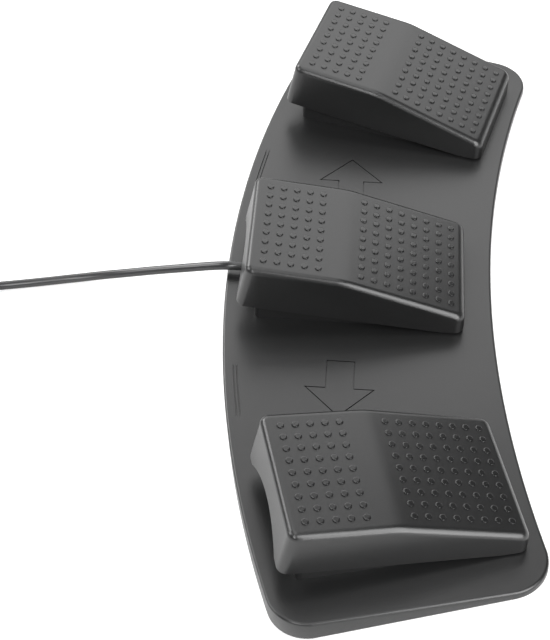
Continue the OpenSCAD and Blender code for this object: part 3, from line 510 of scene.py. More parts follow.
def heading(v):
    """Bearing of a vector in plan, in degrees."""
    return math.degrees(math.atan2(v[1], v[0]))


ARC_STEPS, TRAY_CORNER_STEPS, HAIR = 40, 16, 0.01
slot_ends = 90 - np.array([SLOT_FROM, SLOT_FROM + SLOT_SPAN])
toe_turn, heel_turn = heading(toe_corner - toe_centre), heading(heel_corner - heel_centre)
toe_angles = np.sort(np.concatenate([np.linspace(90, toe_turn, ARC_STEPS + 1)[:-1], slot_ends]))[::-1]
end_turn = -math.degrees(TURNS[0])


def tray_outline(inset):
    """Half an outline, drawn in by inset, and its mirror image: the toe arc, two corners and the heel arc."""
    a = np.radians(toe_angles)
    toe = toe_centre + (OUTER_R - inset) * np.stack([np.cos(a), np.sin(a)], -1)
    half = np.concatenate([
        toe,
        arc(toe_corner, TOE_CORNER_R - inset, toe_turn, end_turn, TRAY_CORNER_STEPS),
        arc(heel_corner, HEEL_CORNER_R - inset, end_turn, heel_turn - 180, TRAY_CORNER_STEPS),
        arc(heel_centre, INNER_R + inset, heel_turn, 90, ARC_STEPS),
        [heel_centre + [0, INNER_R + inset]],
    ])
    return np.concatenate([half, half[-2:0:-1] * [-1, 1]])


bearing = np.abs(90 - np.degrees(np.arctan2(*(tray_outline(0) - toe_centre).T[::-1])))
in_toe_arc = tray_outline(0)[:, 1] > toe_corner[1]
in_slot = in_toe_arc & (bearing > SLOT_FROM + HAIR) & (bearing < SLOT_FROM + SLOT_SPAN - HAIR)
print("outline points:", len(bearing), "in the slots:", int(in_slot.sum()))


# %% Skin of the tray
def tray_ring(inset, drop, slot=0.0):
    """A ring on the deck's plane, drawn in by inset and lowered by drop, and by slot where a slot runs."""
    xy = tray_outline(inset)
    return np.column_stack([xy[:, 0], xy[:, 1] + DECK_Y, deck_level(xy[:, 1]) - drop - slot * in_slot])


def flat_ring(inset, height):
    """A level ring, drawn in by inset."""
    xy = tray_outline(inset)
    return np.column_stack([xy[:, 0], xy[:, 1] + DECK_Y, np.full(len(xy), height)])


BASE_R, INNER_BREAK, DECK_RUN = 0.4, 0.2, 0.3
SLOT_SIDE, SLOT_LINE, SLOT_STRIP = 0.05, 0.55, 0.1
turns = np.radians(np.linspace(0, 90, 9))
base_turns = np.radians(np.linspace(90, 0, 4))
slot_out, slot_in = SLOT_IN, SLOT_IN + SLOT_W
tray_rings = [
    tray_ring(RIM_T, DECK_T),
    flat_ring(RIM_T, FOOT_H + INNER_BREAK),
    flat_ring(RIM_T - INNER_BREAK, FOOT_H),
    *[flat_ring(BASE_R * (1 - math.cos(a)), FOOT_H + BASE_R * (1 - math.sin(a))) for a in base_turns],
    *[tray_ring(EDGE_R * (1 - math.cos(a)), EDGE_R * (1 - math.sin(a))) for a in turns],
    tray_ring(EDGE_R + DECK_RUN, 0),
    tray_ring(slot_out - SLOT_SIDE, 0),
    tray_ring(slot_out + SLOT_SIDE, 0, SLOT_DEEP),
    tray_ring(slot_out + SLOT_LINE - SLOT_SIDE, 0, SLOT_DEEP),
    tray_ring(slot_out + SLOT_LINE + SLOT_SIDE, 0, SLOT_STRIP),
    tray_ring(slot_in - SLOT_LINE - SLOT_SIDE, 0, SLOT_STRIP),
    tray_ring(slot_in - SLOT_LINE + SLOT_SIDE, 0, SLOT_DEEP),
    tray_ring(slot_in - SLOT_SIDE, 0, SLOT_DEEP),
    tray_ring(slot_in + SLOT_SIDE, 0),
]
print("rings of the tray:", len(tray_rings))

# %% [markdown]
# ## The marks on the deck
# Between the pedals, two arrows are let into the deck, flush with it, and only the thin seam round each one shows.
# The flat middle of the deck is therefore a polygon with seams cut in it. A constrained Delaunay triangulation
# fills such a polygon from its edges alone, and the seam is a narrow channel with its own walls and floor.

# %% Arrows let into the deck
ARROW_AT, ARROW_L, ARROW_W, SHAFT_L, SHAFT_W = (72.5, -1.0), 34.0, 32.0, 17.0, 13.0
SEAM_W, SEAM_DEEP = 0.5, 0.7


def arrow_outline(grow):
    """An arrow along +x about the origin, every edge moved out by grow along its normal."""
    tip, tail_x, neck = ARROW_L / 2, -ARROW_L / 2, -ARROW_L / 2 + SHAFT_L
    p = np.array([
        [tail_x, -SHAFT_W / 2], [neck, -SHAFT_W / 2], [neck, -ARROW_W / 2], [tip, 0],
        [neck, ARROW_W / 2], [neck, SHAFT_W / 2], [tail_x, SHAFT_W / 2],
    ])
    edge = np.roll(p, -1, 0) - p
    normal = np.stack([edge[:, 1], -edge[:, 0]], -1) / np.linalg.norm(edge, axis=1)[:, None]
    before = np.roll(normal, 1, 0)
    return p + grow * (normal + before) / (1 + np.sum(normal * before, 1))[:, None]


def deck_face():
    """The deck's middle inside the last ring, with the seams cut out, and the channels of the seams."""
    rim = tray_rings[-1]
    loops = [rim[:, :2]]
    for side in (-1, 1):
        for grow in (SEAM_W / 2, -SEAM_W / 2):
            loops.append((arrow_outline(grow) + ARROW_AT) * [side, 1] + [0, DECK_Y])
    points = np.concatenate(loops)
    ends = np.cumsum([0] + [len(loop) for loop in loops])
    edges = [(a + k, a + (k + 1) % (b - a)) for a, b in zip(ends, ends[1:]) for k in range(b - a)]
    _, _, triangles, *_ = delaunay_2d_cdt(points.tolist(), edges, [], 1, 1e-6)
    triangles = np.array(triangles)
    owner = np.searchsorted(ends, triangles, side="right") - 1
    seam = np.zeros(len(triangles), bool)
    for outer in (1, 3):
        out, inside = owner == outer, owner == outer + 1
        seam |= (out | inside).all(1) & out.any(1) & inside.any(1)
    deck = np.column_stack([points, deck_level(points[:, 1] - DECK_Y)])
    faces = triangles[~seam].tolist()
    n = len(deck)
    floor = deck - [0, 0, SEAM_DEEP]
    faces += (triangles[seam] + n).tolist()
    faces += [[a, b, b + n, a + n] for a, b in edges if a >= ends[1]]
    return np.concatenate([deck, floor]), faces, len(rim)


deck_points, deck_faces, rim_count = deck_face()
stack = np.concatenate(tray_rings)
rim_start = len(stack) - rim_count
move = np.concatenate([np.arange(rim_count) + rim_start, np.arange(len(deck_points) - rim_count) + len(stack)])
ring_faces = grid_quads(len(tray_rings), rim_count, ring=True).tolist()
tray_faces = ring_faces + [move[f].tolist() for f in deck_faces] + [list(range(rim_count))[::-1]]
tray_points = np.concatenate([stack, deck_points[rim_count:]])
print("faces of the tray:", len(tray_faces))

# %% The tray as a piece
tray_shape = (tray_points, tray_faces)
make_piece("tray_moulding", tray_shape, "base", tray_plastic, ["base_tray"], recalc=True)
print("tray box:", np.round([tray_points.min(0), tray_points.max(0)], 1).tolist())

# %% [markdown]
# ## The pedal covers
# A cover is a rocker: two slopes meet in a soft crease, the toe wall leans out, and an arch is cut in it between
# two legs. Outline by outline it is the same idea as the tray, but the top isn't flat, so each ring takes its
# height from a formula of y. The arch needs no cutting: the lower edge of the toe wall simply follows it, because
# every point of that edge may slide up along the straight line between the foot and the top edge.

# %% Sizes and formulas of a cover
COVER_HALF, COVER_REAR, COVER_FRONT = 34.0, 45.8, 58.7
CREASE_H, REAR_SLOPE, FRONT_SLOPE, CREASE_BLEND = 29.9, math.radians(6.83), math.radians(17.86), 3.8
COVER_WALL, COVER_EDGE_R, COVER_CORNER_R = 2.2, 3.3, 4.6
TOE_LEAN, SIDE_RISE = math.tan(math.radians(11.3)), math.tan(math.radians(6.2))
COVER_GAP, HINGE_Y, HINGE_H = 0.7, -46.8, 4.6
ARCH_HALF, ARCH_H, ARCH_FOOT, ARCH_SOFT, ARCH_REACH = 26.2, 20.0, 10.4, 1.6, 1.5
REAR_RISE, FRONT_RISE = math.tan(REAR_SLOPE), math.tan(FRONT_SLOPE)


def top_height(y):
    """Two slopes, and a parabola between them over the blend."""
    bend = (REAR_RISE - FRONT_RISE) * (y + CREASE_BLEND) ** 2 / (4 * CREASE_BLEND)
    blended = CREASE_H + FRONT_RISE * y + bend
    return np.where(
        y > CREASE_BLEND, CREASE_H + REAR_RISE * y, np.where(y < -CREASE_BLEND, CREASE_H + FRONT_RISE * y, blended)
    )


def lower_height(y):
    """The lower edge: level at the heel, then a straight rise from the hinge to the toes."""
    return COVER_GAP + np.maximum(0, (y - HINGE_Y) * SIDE_RISE)


def arch_height(x):
    """A circle through the arch's crown and its two feet."""
    rise = ARCH_H - ARCH_FOOT
    r = (rise**2 + ARCH_HALF**2) / (2 * rise)
    return ARCH_H - r + np.sqrt(np.maximum(r**2 - x**2, 0))


TOE_OUT = 4
toe_foot_h = float(lower_height(COVER_REAR + TOE_OUT))
toe_foot = COVER_REAR + (float(top_height(np.array(COVER_REAR))) - toe_foot_h) * TOE_LEAN
print("toe foot at y", round(toe_foot, 2), "height", round(toe_foot_h, 2))

# %% Rings of a cover
TOE_STEPS, CORNER_STEPS, HEEL_STEPS = 28, 10, 8
SIDE_TOE, SIDE_HEEL = COVER_REAR - 6, 7 - COVER_FRONT
side_rows = np.concatenate([
    np.linspace(SIDE_TOE, CREASE_BLEND, 12), np.linspace(CREASE_BLEND, -CREASE_BLEND, 11)[1:],
    np.linspace(-CREASE_BLEND, SIDE_HEEL, 14)[1:],
])


def cover_outline(toe, inset):
    """A rectangle with round corners, drawn in by inset, from the middle of the toe end round the right side to
    the middle of the heel end, and its mirror image."""
    x, r = COVER_HALF - COVER_CORNER_R, COVER_CORNER_R - inset
    heel = COVER_CORNER_R - COVER_FRONT
    half = np.concatenate([
        np.column_stack([np.linspace(0, x, TOE_STEPS + 1)[:-1], np.full(TOE_STEPS, toe - inset)]),
        arc([x, toe - COVER_CORNER_R], r, 90, 0, CORNER_STEPS),
        np.column_stack([np.full(len(side_rows), x + r), side_rows]),
        arc([x, heel], r, 0, -90, CORNER_STEPS),
        np.column_stack([np.linspace(x, 0, HEEL_STEPS + 1), np.full(HEEL_STEPS + 1, heel - r)]),
    ])
    return np.concatenate([half, half[-2:0:-1] * [-1, 1]])


def top_ring(toe, inset, drop):
    """An outline that follows the top's height, lowered by drop."""
    xy = cover_outline(toe, inset)
    return np.column_stack([xy, top_height(xy[:, 1]) - drop])


def foot_ring(toe, inset):
    """An outline at the height of the lower edge."""
    xy = cover_outline(toe, inset)
    return np.column_stack([xy, lower_height(xy[:, 1])])


def arched(foot, top, lift=0.0):
    """The lower edge: each point slides up from the foot ring to the top ring until it is on the arch, with a
    soft turn where the arch meets the leg."""
    on_toe = foot[:, 1] > foot[:, 1].max() - HAIR
    low, high = foot[:, 2] + lift, arch_height(foot[:, 0]) + lift
    gap = high - low
    soft = 0.5 * (low + high + np.sqrt(gap**2 + ARCH_SOFT**2)) - ARCH_SOFT**2 / (4 * (np.abs(gap) + 1))
    height = np.where(on_toe & (np.abs(foot[:, 0]) < ARCH_HALF + ARCH_REACH), np.maximum(soft, low), low)
    share = ((height - foot[:, 2]) / (top[:, 2] - foot[:, 2]))[:, None]
    return foot + share * (top - foot)


print("points of a ring:", len(foot_ring(toe_foot, 0)))


# %% Shell of a cover
LIP, TOP_RUN = 0.25, 0.4


def cover_shell():
    """Closed shell: inner top, inner wall down to the lower edge, a small round there, outer wall, round top edge."""
    toe = COVER_REAR + COVER_EDGE_R * TOE_LEAN
    outer_top, outer_foot = top_ring(toe, 0, COVER_EDGE_R), foot_ring(toe_foot, 0)
    inner_toe = COVER_REAR + COVER_WALL * TOE_LEAN
    inner_top = top_ring(inner_toe, COVER_WALL, COVER_WALL / math.cos(FRONT_SLOPE))
    inner_foot = foot_ring(toe_foot, COVER_WALL)
    lip_out, lip_in = foot_ring(toe_foot, LIP), foot_ring(toe_foot, COVER_WALL - LIP)
    edge_turns = np.radians(np.linspace(0, 90, 11))
    rings = [
        inner_top,
        arched(inner_foot, inner_top, LIP),
        arched(lip_in, inner_top),
        arched(lip_out, outer_top),
        arched(outer_foot, outer_top, LIP),
        *[top_ring(toe, COVER_EDGE_R * (1 - math.cos(a)), COVER_EDGE_R * (1 - math.sin(a))) for a in edge_turns],
        top_ring(toe, COVER_EDGE_R + TOP_RUN, 0),
    ]
    n = len(rings[0])
    toe_row, heel_row = TOE_STEPS, n // 2 - HEEL_STEPS - 1
    ends = []
    for start, flip in ((0, True), ((len(rings) - 1) * n, False)):
        rows = np.arange(toe_row, heel_row)
        across = np.stack([rows, rows + 1, n - rows - 1, n - rows], -1)
        toe_face = list(range(toe_row + 1)) + list(range(n - toe_row, n))
        heel_face = list(range(heel_row, n - heel_row + 1))
        for face in across.tolist() + [toe_face, heel_face]:
            ends.append([k + start for k in (face[::-1] if flip else face)])
    return outwards(np.concatenate(rings), grid_quads(len(rings), n, ring=True).tolist() + ends)


shell = cover_shell()
print("faces of a cover's shell:", len(shell[1]))

# %% [markdown]
# Each slope carries a field of grip dots: low round buttons with a flat top, whose round edges catch the light.
# One button is a stack of rings, and the whole field is that one stack added to an array of places.

# %% Grip dots
DOT_R, DOT_H, DOT_FLAT, DOT_MIDDLE, DOT_SINK = 1.72, 0.58, 0.74, 0.85, 0.12
DOT_TURNS = (0, 22, 52, 90)
DOT_PITCH, DOT_STEP, DOTS_ACROSS, DOT_POINTS = 6.5, 6.55, 9, 12
DOT_FIELDS = ((12.2, REAR_SLOPE, DOT_STEP, 5), (-8.1, FRONT_SLOPE, -DOT_STEP, 8))


def dot_mesh():
    """A button: a quarter ellipse from its foot to the flat share of its radius, then level to the middle."""
    a = np.radians(DOT_TURNS)
    radius = np.append(DOT_FLAT + (1 - DOT_FLAT) * np.cos(a), DOT_MIDDLE * DOT_FLAT)[:, None] * DOT_R
    height = np.append(DOT_H * np.sin(a) - DOT_SINK * (a == 0), DOT_H)[:, None]
    turn = np.linspace(0, 2 * np.pi, DOT_POINTS + 1)[:-1][None, :]
    rings = np.stack(np.broadcast_arrays(radius * np.cos(turn), radius * np.sin(turn), height), -1)
    sides = grid_quads(len(rings), DOT_POINTS, ring=True).tolist()
    return rings.reshape(-1, 3), [*sides, list(range((len(rings) - 1) * DOT_POINTS, len(rings) * DOT_POINTS))]


def dot_fields():
    """Every dot of a cover: the button, tilted with its slope, at the rows and columns of both fields."""
    button, faces = dot_mesh()
    shapes = []
    for first, slope, step, count in DOT_FIELDS:
        x = (np.arange(DOTS_ACROSS) - (DOTS_ACROSS - 1) / 2) * DOT_PITCH
        along = np.arange(count) * step
        c, s = math.cos(slope), math.sin(slope)
        places = np.stack(np.broadcast_arrays(
            x[:, None], first + along[None] * c, float(top_height(np.array(first))) + along[None] * s
        ), -1).reshape(-1, 1, 3)
        across, up, off = button.T
        tilted = np.stack([across, c * up - s * off, s * up + c * off], -1)
        points = (places + tilted[None]).reshape(-1, 3)
        starts = np.arange(len(places)) * len(button)
        shapes.append((points, [[k + s0 for k in f] for s0 in starts.tolist() for f in faces]))
    return joined(shapes)


dots = dot_fields()
print("faces of a cover's dots:", len(dots[1]))

# %% [markdown]
# Inside, a cover has two hinge lugs, a boss for the spring, a rib over the switch and two stop hooks. They
# show from below, through the arch and in the gaps, so they are here as plain extruded outlines.

# %% Inner features of a cover
HINGE_R, LUG_FROM, LUG_T, OVERLAP = 3.6, 20.9, 4.0, 0.4
SPRING_Y, SPRING_TOP, SPRING_BOSS_R = 5.0, 21.6, 7.0
SWITCH_Y, RIB_TIP, RIB_R, RIB_HALF = -27.0, 14.26, 1.5, 5.0
HOOK_FROM, HOOK_W, HOOK_TOE, HOOK_T = 14.0, 8.0, 38.2, 2.0
HOOK_BARB, HOOK_TOP, HOOK_EDGE, HOOK_LOW = 3.0, 16.4, 0.8, 13.0


def extruded(profile, start, stop):
    """A closed outline in y and z, carried across the pedal from x = start to x = stop."""
    profile = np.asarray(profile, float)
    ends = [np.column_stack([np.full(len(profile), x), profile]) for x in (start, stop)]
    return loft(ends)


def under_top(y):
    """Height of the cover's inner face, with a little overlap into the wall."""
    return top_height(np.asarray(y)) - COVER_WALL + OVERLAP


def cover_inside():
    """The shapes under the top: outlines with a round end, extruded, and the spring's boss, a round prism."""
    shapes = []
    lug = np.concatenate([
        arc([HINGE_Y, HINGE_H], HINGE_R, 180, 360, 20),
        [[HINGE_Y + HINGE_R, HINGE_H], [HINGE_Y + HINGE_R, under_top(HINGE_Y + HINGE_R)]],
        [[HINGE_Y - HINGE_R, under_top(HINGE_Y - HINGE_R)]],
    ])
    rib = np.concatenate([
        arc([SWITCH_Y, RIB_TIP + RIB_R], RIB_R, 180, 360, 12),
        [[SWITCH_Y + RIB_R, under_top(SWITCH_Y + RIB_R)], [SWITCH_Y - RIB_R, under_top(SWITCH_Y - RIB_R)]],
    ])
    hook = [
        [HOOK_TOE - HOOK_T, HOOK_LOW], [HOOK_TOE, HOOK_LOW], [HOOK_TOE + HOOK_BARB, HOOK_TOP - HOOK_EDGE],
        [HOOK_TOE + HOOK_BARB, HOOK_TOP], [HOOK_TOE, HOOK_TOP], [HOOK_TOE, under_top(HOOK_TOE)],
        [HOOK_TOE - HOOK_T, under_top(HOOK_TOE - HOOK_T)],
    ]
    for side in (-1, 1):
        shapes.append(extruded(lug, side * LUG_FROM, side * (LUG_FROM + LUG_T)))
        shapes.append(extruded(hook, side * HOOK_FROM, side * (HOOK_FROM + HOOK_W)))
    shapes.append(extruded(rib, -RIB_HALF, RIB_HALF))
    boss = arc([0, SPRING_Y], SPRING_BOSS_R, 0, 360, 32)
    ends = (np.full(len(boss), SPRING_TOP), under_top(boss[:, 1]))
    return [*shapes, loft([np.column_stack([boss, z]) for z in ends])]


cover = joined([shell, *cover_inside()])
print("faces of a cover:", len(cover[1]))

# %% The covers and their dots as pieces
for i, side in enumerate(SIDES):
    shape = (on_pedal(i, cover[0]), cover[1])
    make_piece(f"pedal_cover_{side}", shape, f"pedal_{side}", pedal_plastic, [f"cover_{side}"])
for i, side in enumerate(SIDES):
    shape = (on_pedal(i, dots[0]), dots[1])
    make_piece(f"grip_dots_{side}", shape, f"pedal_{side}", dot_plastic)
print("pieces on the pedals:", 2 * len(SIDES))

# %% [markdown]
# ## Springs and wires
# Under each cover a steel spring lifts it again, and a thin wire goes from each switch to the board in the middle
# housing. Both are bent from round stock. A spring is a tube swept along a helix, whose frame is known exactly:
# one axis points away from the middle line, the other is square to that and to the wire. The wires bend any way,
# so they are bevelled curves like the cable.

# %% Return springs
SPRING_R, SPRING_WIRE, SPRING_TURNS, SPRING_FOOT, SPRING_RISE = 5.4, 1.2, 6.5, 2.3, 18.6
HOUSING_FLOOR, SPRING_KEEP, SPRING_STEPS, SPRING_SIDES = 1.6, 0.775, 28, 10


def spring_shape():
    """A round wire along a helix: each ring lies in the plane of the outward axis and the axis square to the wire."""
    t = np.linspace(0, SPRING_TURNS, int(SPRING_TURNS * SPRING_STEPS) + 1)
    turn = 2 * np.pi * t
    level = np.zeros(len(t))
    out = np.stack([np.cos(turn), np.sin(turn), level], -1)
    middle = SPRING_R * out + np.stack([level, level + SPRING_Y, SPRING_FOOT + SPRING_RISE * t / SPRING_TURNS], -1)
    climb = SPRING_RISE / (2 * np.pi * SPRING_TURNS)
    along = np.stack([-SPRING_R * np.sin(turn), SPRING_R * np.cos(turn), level + climb], -1)
    square = np.cross(out, along / np.linalg.norm(along, axis=1)[:, None])
    a = np.linspace(0, 2 * np.pi, SPRING_SIDES + 1)[:-1][None, :, None]
    return loft(middle[:, None] + SPRING_WIRE / 2 * (np.cos(a) * out[:, None] + np.sin(a) * square[:, None]))


spring_points, spring_faces = spring_shape()
for i, side in enumerate(SIDES):
    shape = (on_pedal(i, spring_points), spring_faces)
    spring = make_piece(f"spring_{side}", shape, "base", zinc_steel, [f"return_spring_{side}"])
    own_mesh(spring)
print("faces of a spring:", len(spring_faces))

# %% Wires from the switches
WIRE_D = 2.0
WIRE_START = np.array([[9.9, -27, 4.6], [11.5, -27, 4.6], [13.2, -24.8, 4.6], [14.2, -21, 4.6]])
WIRE_DOWN = np.array([
    [14.2, 5, 4.6], [14.2, 9.5, 3.8], [14.2, 11.6, 1.6], [14.2, 12, -0.9], [15, 12, -2.6], [17.8, 12, -3.3],
])
WIRE_UP = np.array([
    [17.8, 12, -3.3], [15, 12, -2.6], [14.2, 12, -0.9], [14.2, 12.3, 4.6], [14.4, 14.6, 7.85], [14.2, 18.1, 8.35],
    [12.9, 19.5, 8.35], [11.5, 19.5, 8.35],
])
WIRE_FRONT = np.array([
    [14.2, -4, 4.6], [11.8, 4, 5.2], [8.6, 9.4, 6.6], [4.6, 12.4, 7.75], [1.2, 13.7, 8.35], [0, 14.7, 8.35],
    [0, 15.5, 8.35],
])


def eased_path(points, step=0.7, reach=2):
    """A polyline sampled at even steps, each sample then averaged with its neighbours on both sides."""
    along = np.concatenate([[0], np.cumsum(np.linalg.norm(np.diff(points, axis=0), axis=1))])
    at = np.linspace(0, along[-1], int(along[-1] / step) + 1)
    even = np.stack([np.interp(at, along, points[:, k]) for k in range(3)], -1)
    even = np.pad(even, ((reach, reach), (0, 0)), mode="reflect", reflect_type="odd")
    window = np.full(2 * reach + 1, 1 / (2 * reach + 1))
    return np.stack([np.convolve(even[:, k], window, "valid") for k in range(3)], -1)


def wire_points(i):
    """Places that a pedal's wire goes through: straight to the board, or under the deck from a side pedal."""
    if i == 1:
        return on_pedal(1, np.concatenate([WIRE_START, WIRE_FRONT]))
    mirror = np.array([1 if i == 0 else -1, 1, 1])
    down = on_pedal(i, np.concatenate([WIRE_START, WIRE_DOWN]) * mirror)
    return np.concatenate([down, on_pedal(1, WIRE_UP * mirror * [-1, 1, 1])])


for i, side in enumerate(SIDES):
    path = eased_path(wire_points(i))
    round_line(f"wire_{side}", path, WIRE_D, cable_jacket, [f"switch_wire_{side}"])
    print("wire", side, "has", len(path), "points")

# %% [markdown]
# ## The underside
# A flat plate closes the tray from below, held by countersunk screws, and round rubber feet are glued to it. Both are
# turned shapes: a profile of radius and height, carried round. A screw's cross recess is an outline too, given by its
# radius at each bearing, so the recess and the round head fit the same stack of rings.

# %% Places under the tray
BETWEEN, SCREW_TOE, SCREW_HEEL, FOOT_TOE, FOOT_HEEL = 70.75, 15, 22, 33, 40
FOOT_END, FOOT_CORNER = 22, np.array([20, -3])


def edge_at(x, circle, radius):
    """The y of a point of the tray's edge, on a circle about the middle line."""
    return circle[1] + math.sqrt(radius**2 - x**2)


toe_edge, heel_edge = edge_at(BETWEEN, toe_centre, OUTER_R), edge_at(BETWEEN, heel_centre, INNER_R)
SCREW_PLACES = np.array([
    [BETWEEN, toe_edge - SCREW_TOE], [BETWEEN, heel_edge + SCREW_HEEL], toe_corner, heel_corner,
])
FOOT_PLACES = np.array([
    [BETWEEN, toe_edge - FOOT_TOE], [BETWEEN, heel_edge + FOOT_HEEL],
    toe_corner - FOOT_END * end_along, heel_corner - FOOT_CORNER,
])
print("screws and feet:", 2 * len(SCREW_PLACES), 2 * len(FOOT_PLACES))

# %% Screws and feet
HEAD_R, SHAFT_R, HEAD_DEEP, HEAD_BREAK, HEAD_RIM, SCREW_L = 2.3, 1.25, 1.0, 0.06, 0.05, 3.4
RECESS_L, RECESS_W, RECESS_DEEP, RECESS_SHARE = 1.35, 0.32, 0.7, 0.6
FOOT_R, FOOT_EDGE, FOOT_FACE = 8.0, 0.6, [[2, 0.2], [5, 0.15], [6.2, 0]]


def turned(profile, bearings):
    """A turned solid: the profile's radii and heights, carried round by the bearings."""
    profile = np.asarray(profile, float)
    circle = np.stack([np.cos(bearings), np.sin(bearings), np.zeros(len(bearings))], -1)
    return profile[:, :1, None] * circle + profile[:, 1:, None] * [0, 0, 1]


def screw_shape():
    """A countersunk screw seen from below: the floor and rim of its cross, the head's rim, the cone and the shaft."""
    corner = math.atan2(RECESS_W, RECESS_L)
    quarter = np.array([0, corner, (corner + math.pi / 4) / 2, math.pi / 4])
    quarter = np.concatenate([quarter, math.pi / 2 - quarter[2:0:-1]])
    a = (quarter[None] + np.arange(4)[:, None] * math.pi / 2).ravel()
    c, s = np.abs(np.cos(a)) + 1e-9, np.abs(np.sin(a)) + 1e-9
    cross = np.maximum(np.minimum(RECESS_L / c, RECESS_W / s), np.minimum(RECESS_L / s, RECESS_W / c))
    circle = np.stack([np.cos(a), np.sin(a), 0 * a], -1)
    recess = [
        share * cross[:, None] * circle + [0, 0, height] for share, height in ((RECESS_SHARE, RECESS_DEEP), (1, 0))
    ]
    outside = turned([[HEAD_R - HEAD_BREAK, 0], [HEAD_R, HEAD_RIM], [SHAFT_R, HEAD_DEEP], [SHAFT_R, SCREW_L]], a)
    return loft([*recess, *outside])


def foot_shape():
    """A rubber disc with a rounded lower edge and a slightly hollow face."""
    edge = np.radians(np.linspace(-90, 0, 7))
    rim = np.column_stack([FOOT_R - FOOT_EDGE + FOOT_EDGE * np.cos(edge), FOOT_EDGE + FOOT_EDGE * np.sin(edge)])
    profile = np.concatenate([FOOT_FACE, rim, [[FOOT_R, FOOT_H]]])
    return loft(turned(profile, np.linspace(0, 2 * np.pi, 49)[:-1]))


def repeated(shape, places, height):
    """A shape at every place of the right half and its mirror places."""
    points, faces = shape
    spots = np.concatenate([places, places * [-1, 1]])
    return joined([(points + [x, y + DECK_Y, height], faces) for x, y in spots])


screws, feet = repeated(screw_shape(), SCREW_PLACES, FOOT_H), repeated(foot_shape(), FOOT_PLACES, 0.0)
make_piece("plate_screws", screws, "base", zinc_steel, ["bottom_screws"])
make_piece("feet", feet, "base", foot_rubber, ["rubber_feet"])
print("faces of the screws and feet:", len(screws[1]), len(feet[1]))

# %% [markdown]
# ## Where the cable leaves, its tie and its plug
# A strain relief is moulded round the cable: a block inside the housing, a flange outside it, and a sleeve with
# grooves that let it bend. It is round, so a profile is carried round once and laid along the pedal. The tie is a
# strap round one side of the coil. A bevelled curve would give it a round section, so a flat section is carried along
# the loop instead.

# %% Strain relief
HOUSING_TOE, BLOCK_HALF, BLOCK_H, BLOCK_BACK, BLOCK_FRONT = 42.3, 3.4, 6, 6, 2
NECK_R, NECK_L, FLANGE_R, FLANGE_EDGE, FLANGE_T = 2.6, 2.6, 3.6, 0.5, 1.5
SLEEVE_R, SLEEVE_TAPER, SLEEVE_FROM, SLEEVE_TO, SLEEVE_L = 3.0, 0.4, 1.9, 7.7, 8
SLEEVE_END = [[2.58, 7.85], [2.4, SLEEVE_L], [2.2, SLEEVE_L]]
BEND_PITCH, BEND_DEEP, BEND_STEEP, BEND_BIAS = 1.9, 0.22, 2.2, 0.9


def block(low, high):
    """A plain box between two corners."""
    x, y = zip(low[:2], high[:2])
    ring = np.array([[x[0], y[0]], [x[1], y[0]], [x[1], y[1]], [x[0], y[1]]])
    return loft([np.column_stack([ring, np.full(4, z)]) for z in (low[2], high[2])])


def relief_shape():
    """Block, neck, flange and a sleeve with grooves, the clipped crests of a wave; the turned part lies along the
    pedal's y axis."""
    edge = np.radians(np.linspace(0, 90, 5))
    flange_centre = np.array([FLANGE_R, FLANGE_T]) - FLANGE_EDGE
    flange = flange_centre + FLANGE_EDGE * np.stack([np.cos(edge), np.sin(edge)], -1)
    y = np.linspace(SLEEVE_FROM, SLEEVE_TO, 59)
    wave = BEND_STEEP * np.sin((y - SLEEVE_FROM) * 2 * np.pi / BEND_PITCH) - BEND_BIAS
    groove = BEND_DEEP * np.clip(wave, 0, 1)
    sleeve = np.column_stack([SLEEVE_R - SLEEVE_TAPER * y / SLEEVE_L - groove, y])
    neck = [[NECK_R, -NECK_L], [NECK_R, 0], [FLANGE_R, 0]]
    profile = np.concatenate([neck, flange, [[SLEEVE_R, FLANGE_T]], sleeve, SLEEVE_END])
    points, faces = loft(turned(profile, np.linspace(0, 2 * np.pi, 41)[:-1]))
    laid = np.stack([points[:, 0], HOUSING_TOE + points[:, 2], CABLE_H - points[:, 1]], -1)
    low = (-BLOCK_HALF, HOUSING_TOE - BLOCK_BACK, HOUSING_FLOOR)
    high = (BLOCK_HALF, HOUSING_TOE - BLOCK_FRONT, HOUSING_FLOOR + BLOCK_H)
    return joined([block(low, high), outwards(laid, faces)])


relief_points, relief_faces = relief_shape()
relief_piece = (on_pedal(1, relief_points), relief_faces)
make_piece("cable_relief", relief_piece, "base", relief_rubber, ["strain_relief"])
print("faces of the relief:", len(relief_faces))

# %% Tie round the coil
TIE_LOW, TIE_HIGH = np.array([13.65, 0.8]), np.array([28.35, 20.5])
TIE_T, TIE_HALF, TIE_R, TIE_EDGE = 0.8, 2.0, 0.8, 0.25


def round_rectangle(low, high, radius, steps=6):
    """Points round a rectangle with round corners: a quarter circle about each corner's centre, counterclockwise from
    the right end of the first, with both its ends."""
    (a, b), (c, d) = np.asarray(low) + radius, np.asarray(high) - radius
    corners = (((c, d), 0, (0, 1)), ((a, d), 90, (-1, 0)), ((a, b), 180, (0, -1)), ((c, b), 270, (1, 0)))
    return np.concatenate([
        np.concatenate([arc(centre, radius, start, start + 90, steps), [centre + radius * np.array(end)]])
        for centre, start, end in corners
    ])


def tie_shape():
    """A strap: each point of its section, a flat rectangle with soft edges, follows the loop at its own offset."""
    rows = []
    for out, across in round_rectangle((0, -TIE_HALF), (TIE_T, TIE_HALF), TIE_EDGE, 3):
        loop = round_rectangle(TIE_LOW - out, TIE_HIGH + out, TIE_R + out)
        rows.append(np.column_stack([COIL_AT[0] - loop[:, 0], np.full(len(loop), COIL_AT[1] + across), loop[:, 1]]))
    rows = np.array(rows)
    return outwards(rows, grid_quads(*rows.shape[:2], ring=True, loop=True))


tie_loop = tie_shape()
tie = make_piece("coil_tie", tie_loop, "base", tie_rubber, ["cable_tie"])
print("faces of the tie:", len(tie_loop[1]))

